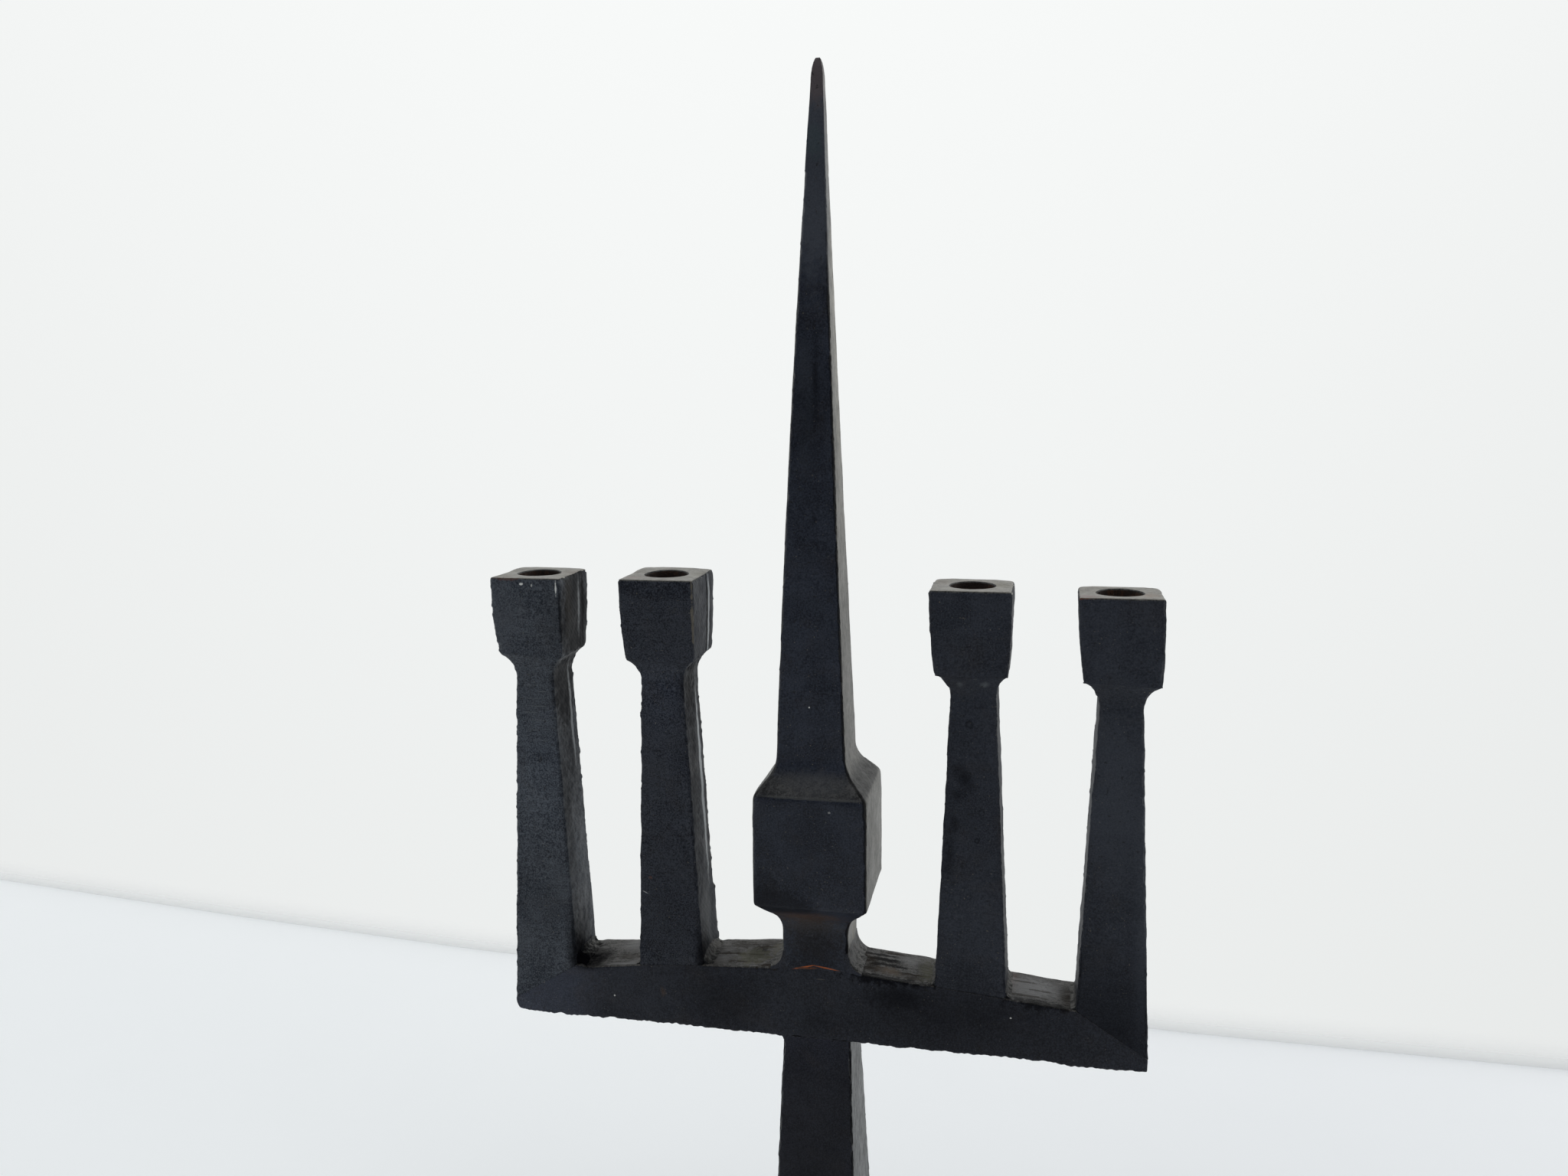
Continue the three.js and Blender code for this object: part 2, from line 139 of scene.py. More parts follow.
# Draws a square bar up through its stations: each is (x, z, half width, half depth), in metres
def drawUp(name, stations, cell):
    x, z, halfX, halfY = stations[0]
    piece = startPlate(name, halfX, halfY)
    bpy.ops.transform.translate(value=(x, 0, z))
    for station in stations[1:]:
        start = (x, z, halfX, halfY)
        steps = max(1, math.ceil((station[1] - z) / (mostCells * cell)))
        for step in range(1, steps + 1):
            nextX, nextZ, nextHalfX, nextHalfY = (mix(a, b, step / steps) for a, b in zip(start, station))
            extrude(nextX - x, 0, nextZ - z)
            scaleAbout((nextX, 0, nextZ), nextHalfX / halfX, nextHalfY / halfY, 1)
            x, z, halfX, halfY = nextX, nextZ, nextHalfX, nextHalfY
    return piece


# Cuts the edges along one axis into cells; along z, those that start at one height get as many cuts
def divideAlong(axis, cell):
    def isAlong(low, high, least):
        reach = high - low
        return abs(reach[axis]) >= max(least * cell, 0.4 * reach.length)

    def level(low):
        return round(low.z / (0.5 * mm)) if axis == 2 else 0

    spans = {}
    for edge in bmesh.from_edit_mesh(bpy.context.edit_object.data).edges:
        low, high = lowHigh(edge)
        if isAlong(low, high, 1.5):
            spans[level(low)] = max(spans.get(level(low), 0), abs(high[axis] - low[axis]))
    for start, span in spans.items():
        cuts = min(100, round(span / cell) - 1)
        if cuts > 0:
            pickEdges(lambda low, high: isAlong(low, high, 1.2) and level(low) == start)
            bpy.ops.mesh.subdivide(number_cuts=cuts)


def divideAll(cell, axes=(2, 0, 1)):
    for axis in axes:
        divideAlong(axis, cell)


# Merges doubles, turns the faces outwards and leaves edit mode
def closeUp():
    bpy.ops.mesh.select_all(action="SELECT")
    bpy.ops.mesh.remove_doubles(threshold=0.01 * mm)
    bpy.ops.mesh.select_all(action="SELECT")
    bpy.ops.mesh.normals_make_consistent(inside=False)
    bpy.ops.mesh.select_all(action="DESELECT")
    bpy.ops.object.mode_set(mode="OBJECT")


# Limits a modifier to where a test of place, in millimetres, and normal gives more than 0, and applies it
def applyWhere(piece, modifier, where):
    if where:
        group = piece.vertex_groups.new(name=modifier.name)
        for vertex in piece.data.vertices:
            weight = where(vertex.co / mm, vertex.normal)
            if weight > 0:
                group.add([vertex.index], min(1, weight), "REPLACE")
        modifier.vertex_group = group.name
    bpy.ops.object.modifier_apply(modifier=modifier.name)


# Shapes the surface with layers of relief, each over the part of the piece that its test picks
def workSurface(piece, layers):
    for number, layer in enumerate(layers):
        texture = bpy.data.textures.new(f"{piece.name}Relief{number}", type="CLOUDS")
        texture.noise_scale = layer["size"] * mm
        texture.noise_depth = layer["depth"]
        texture.contrast = layer.get("contrast", 1)
        relief = piece.modifiers.new(f"relief{number}", "DISPLACE")
        relief.texture = texture
        relief.texture_coords = "LOCAL"
        relief.direction = layer.get("direction", "NORMAL")
        relief.mid_level = layer.get("level", 0.5)
        relief.strength = layer["height"] * mm
        applyWhere(piece, relief, layer.get("where"))


# A layer that moves a part of the surface along an axis, by about its height
def shift(height, direction, where, level=-0.5):
    return {"size": 60, "height": height, "depth": 0, "level": level, "direction": direction, "where": where}


backwards = 1.5     # the level at which a shift goes the other way


# Wears a part of the piece round
def soften(piece, rounds, where):
    wear = piece.modifiers.new("wear", "SMOOTH")
    wear.factor = 0.5
    wear.iterations = rounds
    applyWhere(piece, wear, where)


def nearCorners(corners, reach):
    def where(place, normal):
        nearest = min((place - Vector(corner)).length for corner in corners)
        return clamp(2 * (1 - nearest / reach))
    return where


# The skin that every forging shares, so that flush faces read as one
def skin(where=None):
    return [
        {"size": 14, "height": 0.7, "depth": 1, "level": 0.52, "where": where},
        {"size": 3.2, "height": 0.30, "depth": 3, "level": 0.52, "where": where},
    ]


def finishPiece(piece, node, angle=32):
    bpy.ops.object.shade_smooth_by_angle(angle=math.radians(angle))
    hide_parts(node)
    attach(piece, "root")
    bpy.ops.object.select_all(action="DESELECT")
    print(node, len(piece.data.polygons), "faces")


# Materials: sizes of noises in millimetres

def connect(tree, node, links):
    for key, value in links.items():
        if isinstance(value, bpy.types.NodeSocket):
            tree.links.new(value, node.inputs[key])
        else:
            node.inputs[key].default_value = value


def addNode(tree, kind, links=None, **settings):
    node = tree.nodes.new(kind)
    for key, value in settings.items():
        setattr(node, key, value)
    connect(tree, node, links or {})
    return node


def startMaterial(name):
    material = bpy.data.materials.new(name)
    material.use_nodes = True
    tree = material.node_tree
    return material, tree, tree.nodes["Principled BSDF"], addNode(tree, "ShaderNodeTexCoord").outputs["Object"]


def stretch(tree, place, scale):
    return addNode(tree, "ShaderNodeMapping", {"Vector": place, "Scale": scale}).outputs[0]


def noise(tree, place, size, detail=4.0, rough=0.55, warp=0.0):
    return addNode(tree, "ShaderNodeTexNoise", {
        "Vector": place, "Scale": 1 / (size * mm), "Detail": detail, "Roughness": rough,
         "Distortion": warp}).outputs[0]


def spread(tree, value, low, high, toLow=0.0, toHigh=1.0, kind="SMOOTHSTEP"):
    return addNode(tree, "ShaderNodeMapRange", {
        "Value": value, "From Min": low, "From Max": high, "To Min": toLow, "To Max": toHigh},
        interpolation_type=kind).outputs[0]


def blendColour(tree, share, first, second):
    return addNode(tree, "ShaderNodeMix", {0: share, 6: first, 7: second}, data_type="RGBA").outputs[2]


def blendValue(tree, share, first, second):
    return addNode(tree, "ShaderNodeMix", {0: share, 2: first, 3: second}).outputs[0]


def calculate(tree, operation, *values):
    return addNode(tree, "ShaderNodeMath", dict(enumerate(values)), operation=operation).outputs[0]


def times(tree, first, second):
    return calculate(tree, "MULTIPLY", first, second)


def plus(tree, first, second):
    return calculate(tree, "ADD", first, second)


# Adds up pairs of value and weight
def weigh(tree, *pairs):
    total = None
    for value, weight in pairs:
        part = times(tree, value, weight)
        total = part if total is None else plus(tree, total, part)
    return total


def vectorMath(tree, operation, *vectors):
    return addNode(tree, "ShaderNodeVectorMath", dict(enumerate(vectors)), operation=operation).outputs


def bumped(tree, strength, distance, height):
    return addNode(tree, "ShaderNodeBump", {"Strength": strength, "Distance": distance, "Height": height}).outputs[0]


def darker(colour, share):
    return tuple(part * share for part in colour[:3]) + (1,)


# A mark: where it lies, how far it reaches, its colour or else the gain of what is under it, its strength, and how
# ragged its rim is; a patch has a firm rim, and a haze fades from its middle
def patch(at, reach, colour, strength=1, ragged=1.2, soft=False, **more):
    return {"at": at, "reach": reach, "colour": colour, "strength": strength, "ragged": ragged, "soft": soft, **more}


def haze(*place, **more):
    return patch(*place, soft=True, **more)


# One where the piece is within a mark's reach, with a ragged rim, and 0 beyond
def markShare(tree, place, mark, uneven):
    offset = vectorMath(tree, "SUBTRACT", place, Vector(mark["at"]) * mm)[0]
    if "turn" in mark:
        offset = addNode(tree, "ShaderNodeVectorRotate", {
            "Vector": offset, "Axis": (0, 1, 0), "Angle": math.radians(mark["turn"])}).outputs[0]
    scaled = vectorMath(tree, "DIVIDE", offset, Vector(mark["reach"]) * mm)[0]
    distance = vectorMath(tree, "LENGTH", scaled)[1]
    distance = plus(tree, distance, times(tree, plus(tree, uneven, -0.5), mark["ragged"]))
    if "ring" in mark:
        share = times(tree, spread(tree, distance, 0.35, 0.75), spread(tree, distance, 1.25, 0.85))
    else:
        share = spread(tree, distance, 1.0, 0.0 if mark["soft"] else 0.55)
    return times(tree, share, mark["strength"])


rust = (0.085, 0.028, 0.012, 1)
rustBright = (0.34, 0.085, 0.022, 1)
scuff = (0.62, 0.62, 0.58, 1)
tan = (0.19, 0.165, 0.12, 1)
# Near-black for soot and pits, and for painted shade in corners, by joints and along the dark strips of side faces;
# these marks also lose their shine
sootAndShade = (0.003, 0.003, 0.004, 1)
sootAndShadeShine = 0.03
palePaste = (0.11, 0.12, 0.125, 1)

ironLook = {
    "dark": (0.0016, 0.0024, 0.0058, 1),
    "light": (0.0150, 0.0185, 0.0305, 1),
    "brown": (0.0240, 0.0180, 0.0150, 1),
    "top": (0.0400, 0.0385, 0.0340, 1),
    "edge": (0.0450, 0.0470, 0.0500, 1),
    "side": (0.0560, 0.0560, 0.0520, 1),
    "sideSheenShare": 0.0, "cornerShadeShare": 0.0, "edgeWearAndHighlightShare": 1.0, "brownShare": 0.16, "specks": 0.4, "pits": 0.6,
    "patch": 30, "mottle": 3.2, "grain": 0.8,       # sizes
    "weights": (0.30, 0.10, 0.52, 0.08),            # of patches, mottle, grain and streaks in the tone
    "contrast": 0.65, "combed": 0.0, "drag": 0.0, "topDark": 0.25, "sideSheenDark": 0.4,
    "roughness": (0.42, 0.62), "ior": 1.45,
    "frontShine": 0.3, "sideShine": 0.5, "topShine": 0.7, "shineSpread": 0.25, "sideSpread": 0.45, "topSpread": 0.6,
    "bump": 0.05, "grainBump": 0.04, "pitBump": -0.08, "dragBump": 0.5, "lines": 0.0, "lineGap": 0.8,
}

# Where each part of the finish starts and where it is full, on the noise or the facing that it follows
finishRange = {
    "tone": (0.32, 0.68), "combed": (0.37, 0.63), "brown": (0.5, 0.68), "specks": (0.68, 0.76), "pits": (0.34, 0.27),
    "sideways": (0.55, 0.92), "upward": (0.3, 0.85), "sideStreaks": (0.38, 0.6), "side": (0.35, 1.0),
    "top": (0.40, 0.58), "edge": (0.53, 0.62), "edgeGrain": (0.35, 0.66),
    "frontShine": (0.36, 0.64), "sideShine": (0.38, 0.62), "topShine": (0.36, 0.64),
    "turned": (0.22, 0.5), "notSide": (0.97, 0.85), "forward": (-0.15, -0.4), "roughness": (0.3, 0.7),
}


def ironFinish(name, look=None, marks=()):
    look = {**ironLook, **(look or {})}
    material, tree, shader, place = startMaterial(name)

    def over(value, part, *result):
        return spread(tree, value, *finishRange[part], *result)

    def shineOver(value, part, middle, spreadShare):
        return over(value, part, (1 - spreadShare) * middle, (1 + spreadShare) * middle)

    surface = addNode(tree, "ShaderNodeNewGeometry")
    facing = addNode(tree, "ShaderNodeSeparateXYZ", {0: surface.outputs["Normal"]}).outputs
    drag = noise(tree, stretch(tree, place, (0.14, 1, 1)), 1.7, 4, 0.65, 0.3)
    patches = noise(tree, place, look["patch"], 2, 0.5, 0.4)
    mottle = noise(tree, place, look["mottle"], 6, 0.66, 0.2)
    grain = noise(tree, place, look["grain"], 3, 0.6)
    streaks = noise(tree, stretch(tree, place, (1, 1, 0.2)), 1.5, 3, 0.55)
    tone = weigh(tree, *((over(value, "tone"), weight)
                         for value, weight in zip((patches, mottle, grain, streaks), look["weights"])))
    if look["combed"]:
        tone = blendValue(tree, look["combed"], tone, over(drag, "combed"))
    reach = 0.32 / look["contrast"]
    tone = spread(tree, tone, 0.5 - reach, 0.5 + reach, kind="LINEAR")
    colour = blendColour(tree, tone, look["dark"], look["light"])
    brown = over(noise(tree, place, look["patch"] * 0.7, 5, 0.6, 0.6), "brown")
    colour = blendColour(tree, times(tree, brown, look["brownShare"]), colour, look["brown"])
    specks = over(noise(tree, place, 1.1, 2, 0.5), "specks")
    colour = blendColour(tree, times(tree, specks, look["specks"]), colour, tan)
    sideways = over(calculate(tree, "ABSOLUTE", facing[0]), "sideways")
    # Side faces take a lighter colour: a painted sheen standing in for the reflection they catch at a grazing angle
    if look["sideSheenShare"]:
        sideSheenTone = weigh(tree, (over(streaks, "sideStreaks"), 0.5), (mottle, 0.9))
        sideSheenColour = blendColour(tree, over(sideSheenTone, "side"), darker(look["side"], look["sideSheenDark"]), look["side"])
        colour = blendColour(tree, times(tree, sideways, look["sideSheenShare"]), colour, sideSheenColour)
    upward = over(facing[2], "upward")
    swirl = weigh(tree, (drag, look["drag"] * 0.6), (mottle, (1 - look["drag"]) * 0.6), (grain, 0.4))
    topColour = blendColour(tree, over(swirl, "top"), darker(look["top"], look["topDark"]), look["top"])
    colour = blendColour(tree, upward, colour, topColour)
    # Convex edges turn lighter: wear, and a painted highlight where a rounded edge would catch the light
    worn = times(tree, over(surface.outputs["Pointiness"], "edge"), over(grain, "edgeGrain"))
    colour = blendColour(tree, times(tree, worn, look["edgeWearAndHighlightShare"]), colour, look["edge"])
    frontShine = shineOver(weigh(tree, (patches, 0.35), (grain, 0.65)), "frontShine", look["frontShine"],
                           look["shineSpread"])
    sideShine = shineOver(weigh(tree, (mottle, 0.8), (streaks, 0.2)), "sideShine", look["sideShine"],
                          look["sideSpread"])
    topShine = shineOver(swirl, "topShine", look["topShine"], look["topSpread"])
    shine = blendValue(tree, upward, blendValue(tree, sideways, frontShine, sideShine), topShine)
    # Where a front turns into a side, the colour goes near-black and the shine drops: painted shade along the corner
    if look["cornerShadeShare"]:
        turned = times(tree, over(facing[0], "turned"), over(facing[0], "notSide"))
        corner = times(tree, times(tree, turned, over(facing[1], "forward")), look["cornerShadeShare"])
        colour = blendColour(tree, corner, colour, sootAndShade)
        shine = times(tree, shine, spread(tree, corner, 0, 1, 1, 0.1))
    rough = over(weigh(tree, (patches, 0.5), (grain, 0.5)), "roughness", *look["roughness"])
    for mark in marks:
        share = markShare(tree, place, mark, mottle)
        toned = mark["colour"]
        markShine = mark.get("shine", sootAndShadeShine if toned == sootAndShade else None)
        if isinstance(toned, float):
            toned = addNode(tree, "ShaderNodeVectorMath", {0: colour, "Scale": toned}, operation="SCALE").outputs[0]
        colour = blendColour(tree, share, colour, toned)
        if markShine is not None:
            shine = blendValue(tree, share, shine, markShine)
    pits = over(noise(tree, place, 2.2, 2, 0.5), "pits")
    colour = blendColour(tree, times(tree, pits, look["pits"]), colour, sootAndShade)
    height = weigh(tree, (mottle, look["bump"]), (grain, look["grainBump"]), (pits, look["pitBump"]))
    if look["drag"]:
        height = plus(tree, height, times(tree, times(tree, drag, upward), look["dragBump"]))
    if look["lines"]:
        swept = addNode(tree, "ShaderNodeTexWave", {
            "Vector": place, "Scale": 1 / (look["lineGap"] * mm * 6.3), "Distortion": 1.2, "Detail": 2.0,
            "Detail Scale": 0.6}, bands_direction="DIAGONAL").outputs[1]
        height = plus(tree, height, times(tree, times(tree, swept, sideways), look["lines"]))
    connect(tree, shader, {"Base Color": colour, "Roughness": rough, "Specular IOR Level": shine,
                           "IOR": look["ior"], "Normal": bumped(tree, 1.0, mm, height)})
    return material


def dress(piece, *materials):
    piece.data.materials.clear()
    for material in materials:
        piece.data.materials.append(material)


# The joint under the spire: a broken line of fresh rust over two pieces
jointMarks = [
    patch((-5.2, -15.5, 274.5), (6.5, 3, 0.5), rustBright, ragged=0.9, turn=15),
    patch((-4.2, -15.5, 274.0), (7.0, 3, 0.6), rust, ragged=1.3, turn=3),
    patch((6.0, -15.5, 274.9), (8.0, 3, 0.5), rustBright, 0.85, 0.9, turn=-7),
]


# Candle posts

post = {
    "rootDepth": 31, "neckDepth": 28, "shoulderDepth": 37, "cupHeight": 40.5, "swell": 0.5,
    "edge": 1.3, "hollow": 14, "slope": 33, "hollowSteps": 7, "cupSteps": 4, "neckDrop": 20,
    "socket": 22, "socketDepth": 30, "socketLip": 0.5, "socketRings": 6, "socketPoint": 2, "mouthRings": 6,
    "cornerReach": 9, "backWorn": 24, "sagAbove": 12, "sagBelow": 20, "sagHeight": 1.4, "cell": 0.85,
}
bar = {
    "length": 335, "depth": 31, "peak": 40.4, "slope": 0.089, "mitreHeight": 6, "leftRound": 5, "rightRound": 1.6,
    "edge": 0.8, "inset": 0.6, "footInset": 1.2, "endClear": 8, "unevenness": 1.6, "cell": 0.9,
}

# Centre and width of each post's sections, and how its own cup is worn, sagging, tipped and cut
postTable = {
    "outer_left": {"root": (-148.7, 37.8), "neck": (-147.8, 20.7), "shoulder": (-148.0, 35.4), "mouth": (-148.1,
     38.2),
                   "mouthDepth": 40, "fall": 1.1, "top": 241.2, "worn": 45, "sag": (0, 1.3), "lift": 0.6},
    "inner_left": {"root": (-77.3, 38.0), "neck": (-78.1, 22.4), "shoulder": (-77.9, 36.4), "mouth": (-78.2, 39.2),
                   "mouthDepth": 41, "fall": 0.4, "top": 241.7, "worn": 14, "sag": (1.4, 1.3), "lift": 0.6},
    "inner_right": {"root": (79.9, 39.0), "neck": (79.4, 22.2), "shoulder": (78.2, 35.6), "mouth": (77.6, 39.8),
                    "mouthDepth": 38, "fall": 0.9, "top": 239.5, "worn": 14, "sag": (1.4, 0.9), "lift": 0.9,
                    "chamfer": 1.2},
    "outer_right": {"root": (148.95, 36.9), "neck": (149.0, 20.4), "shoulder": (148.9, 36.0), "mouth": (147.3, 39.3),
                    "mouthDepth": 37, "fall": 1.3, "top": 237.7, "worn": 8, "sag": (0.9, 1.5), "lift": 1.0,
                     "chamfer": 0.5},
}


def barTop(x):
    return bar["peak"] - bar["slope"] * abs(x)


# The hollow beside a straight bar and the slope beyond it: pairs of rise and overhang
def hollowCurve(radius, slope, overhang, steps):
    tilt = math.radians(slope)
    grown = min(radius * (1 - math.sin(tilt)), overhang)
    end = math.acos(1 - grown / radius)
    curve = [(radius * math.sin(end * step / steps), radius * (1 - math.cos(end * step / steps)))
             for step in range(steps + 1)]
    if overhang > grown:
        curve.append((curve[-1][0] + (overhang - grown) * math.tan(tilt), overhang))
    return curve


def inMetres(stations):
    return [(x * mm, barHeight + z * mm, halfX * mm, halfY * mm) for x, z, halfX, halfY in stations]


def postStations(own):
    rootX, rootWidth = own["root"]
    neckX, neckWidth = own["neck"]
    shoulderX, shoulderWidth = own["shoulder"]
    mouthX, mouthWidth = own["mouth"]
    overhang = (shoulderWidth - neckWidth) / 2
    curve = hollowCurve(post["hollow"], post["slope"], overhang, post["hollowSteps"])
    neckZ = own["top"] - post["cupHeight"] - curve[-1][0]
    stations = [(rootX, 0, rootWidth / 2, post["rootDepth"] / 2), (neckX, neckZ, neckWidth / 2,
     post["neckDepth"] / 2)]
    for rise, grow in curve[1:]:
        share = grow / overhang
        stations.append((mix(neckX, shoulderX, share), neckZ + rise, neckWidth / 2 + grow,
                         mix(post["neckDepth"], post["shoulderDepth"], share) / 2))
    for step in range(1, post["cupSteps"] + 1):
        share = step / post["cupSteps"]
        swell = post["swell"] * math.sin(math.pi * share)
        stations.append((mix(shoulderX, mouthX, share), own["top"] - post["cupHeight"] * (1 - share),
                         mix(shoulderWidth, mouthWidth, share) / 2 + swell,
                         mix(post["shoulderDepth"], own["mouthDepth"], share) / 2 + swell))
    return inMetres(stations)


# Where a post's side, -1 or 1, meets the top of the bar, as x and z, and how far the side leans
def sideFoot(own, side):
    foot = own["root"][0] + side * own["root"][1] / 2
    neckZ = own["top"] - post["cupHeight"] - post["neckDrop"]
    lean = (own["neck"][0] + side * own["neck"][1] / 2 - foot) / neckZ
    slope = bar["slope"] * math.copysign(1, own["root"][0])
    z = (bar["peak"] - slope * foot) / (1 + slope * lean)
    return Vector((foot + lean * z, z)), lean


# The mitre from where an outer post's inner side meets the bar down to the bar's end
def mitrePlane(own):
    out = math.copysign(1, own["root"][0])
    x, z = sideFoot(own, -out)[0]
    corner = Vector((x, 0, z))
    run = Vector((out * bar["length"] / 2, 0, bar["mitreHeight"])) - corner
    return corner * mm + Vector((0, 0, barHeight)), Vector((-run.z * out, 0, run.x * out)).normalized()


def topPlane(x):
    place = Vector((x, 0, barTop(x))) * mm + Vector((0, 0, barHeight))
    return place, Vector((bar["slope"] * math.copysign(1, x), 0, 1)).normalized()


def cutAway(place, normal, below):
    bpy.ops.mesh.select_all(action="SELECT")
    bpy.ops.mesh.bisect(plane_co=place, plane_no=normal, clear_inner=below, clear_outer=not below)


# The cut ends are closed last, so that the relief near them follows the outer faces alone
def closeEnds(*tests):
    bpy.ops.object.mode_set(mode="EDIT")
    for test in tests:
        pickOpenEdges(test)
        bpy.ops.mesh.edge_face_add()
    closeUp()


def candlePost(side):
    own = postTable[side]
    stations = postStations(own)
    cell = post["cell"] * mm
    x, top, halfX, halfY = stations[-1]
    piece = drawUp(f"post_{side}", stations, cell)
    tip = math.atan(own["fall"] / own["mouthDepth"])
    bpy.ops.transform.rotate(value=tip, orient_axis="X", center_override=(x, -halfY, top))
    # the corners are rounded all the way up, and the rim with them
    rimZ = top - (own["fall"] + 0.05) * mm
    pickEdges(lambda low, high: high.z - low.z > 0.3 * mm and abs(high.y - low.y) < 3 * (high.z - low.z)
              or low.z > rimZ - near)
    roundPicked(post["edge"])
    isOuter = abs(own["root"][0]) > 100
    cutAway(*(mitrePlane(own) if isOuter else topPlane(own["root"][0])), True)
    divideAll(cell)
    # the mouth: a round socket in a flat top
    pickFaces(lambda middle, normal: middle.z > rimZ - 0.5 * mm and normal.z > 0.99)
    bpy.ops.mesh.delete(type="FACE")
    lip = (post["socket"] / 2 + post["socketLip"]) * mm
    mouth = Vector((x, 0, top - own["fall"] / 2 * mm))

    def outwards(low, high):
        inner, outer = sorted(((low - mouth).length, (high - mouth).length))
        return abs(inner - lip) < near and outer > lip + 1 * mm

    pickOpenEdges(lambda middle: middle.z > rimZ - 1 * mm)
    extrude(0, 0, 0)
    bpy.ops.transform.tosphere(value=1, center_override=mouth)
    reach = [(vertex.co - mouth).length for vertex in bmesh.from_edit_mesh(piece.data).verts if vertex.select]
    inwards = lip * len(reach) / sum(reach)
    scaleAbout(mouth, inwards, inwards, inwards)
    pickEdges(outwards)
    bpy.ops.mesh.subdivide(number_cuts=post["mouthRings"])
    pickOpenEdges(lambda middle: middle.z > rimZ - 1 * mm)
    shrink = post["socket"] / 2 * mm / lip
    extrude(0, 0, -post["socketLip"] * mm)
    scaleAbout(mouth, shrink, shrink, 1)
    for ring in range(post["socketRings"]):
        extrude(0, 0, -post["socketDepth"] / post["socketRings"] * mm)
    extrude(0, 0, -post["socketPoint"] * mm)
    scaleAbout(mouth, 0.3, 0.3, 1)
    bpy.ops.mesh.edge_face_add()
    closeUp()
    return piece


def fromSocket(own, place):
    return math.hypot(place.x - own["mouth"][0], place.y)


def postRelief(own):
    topZ = own["top"] + barZ

    def outside(place, normal):
        if place.z > topZ - 4 and abs(normal.z) > 0.5:
            return 0.25
        return 0.0 if fromSocket(own, place) < post["socket"] / 2 + 1 and place.z > topZ - 40 else 1.0

    def sides(place, normal):
        return outside(place, normal) * max(0.0, abs(normal.x) - 0.25) * 1.4

    def corners(place, normal):
        return outside(place, normal) if 0.25 < abs(normal.x) < 0.93 and abs(normal.z) < 0.6 else 0.0

    return skin(outside) + [
        {"size": 7, "height": 0.45, "depth": 2, "level": 0.6, "where": sides},
        {"size": 3.4, "height": 0.9, "depth": 2, "contrast": 2.4, "level": 0.68, "where": corners},
    ]


postLook = {"dark": (0.0026, 0.0040, 0.0085, 1), "light": (0.0270, 0.0320, 0.0440, 1), "roughness": (0.52, 0.74),
            "ior": 1.36, "frontShine": 0.5, "lines": 0.04, "combed": 0.1, "contrast": 0.65, "sideSpread": 0.3}
patchyLook = {**postLook, "contrast": 1.1, "grain": 0.75, "shineSpread": 0.5, "weights": (0.12, 0.14, 0.62, 0.12)}
# Post 1 takes a lighter copy of the finish: painted light, for the stronger light on the left front
paleLitLook = {**patchyLook, "dark": (0.0105, 0.0135, 0.0200, 1), "light": (0.0610, 0.0710, 0.0850, 1), "contrast": 1.0,
            "roughness": (0.48, 0.68), "combed": 0.15, "shineSpread": 0.65}
paleHaze = (0.052, 0.059, 0.072, 1)
# A painted highlight line along the back of a side face
paintedHighlight = (0.36, 0.38, 0.39, 1)

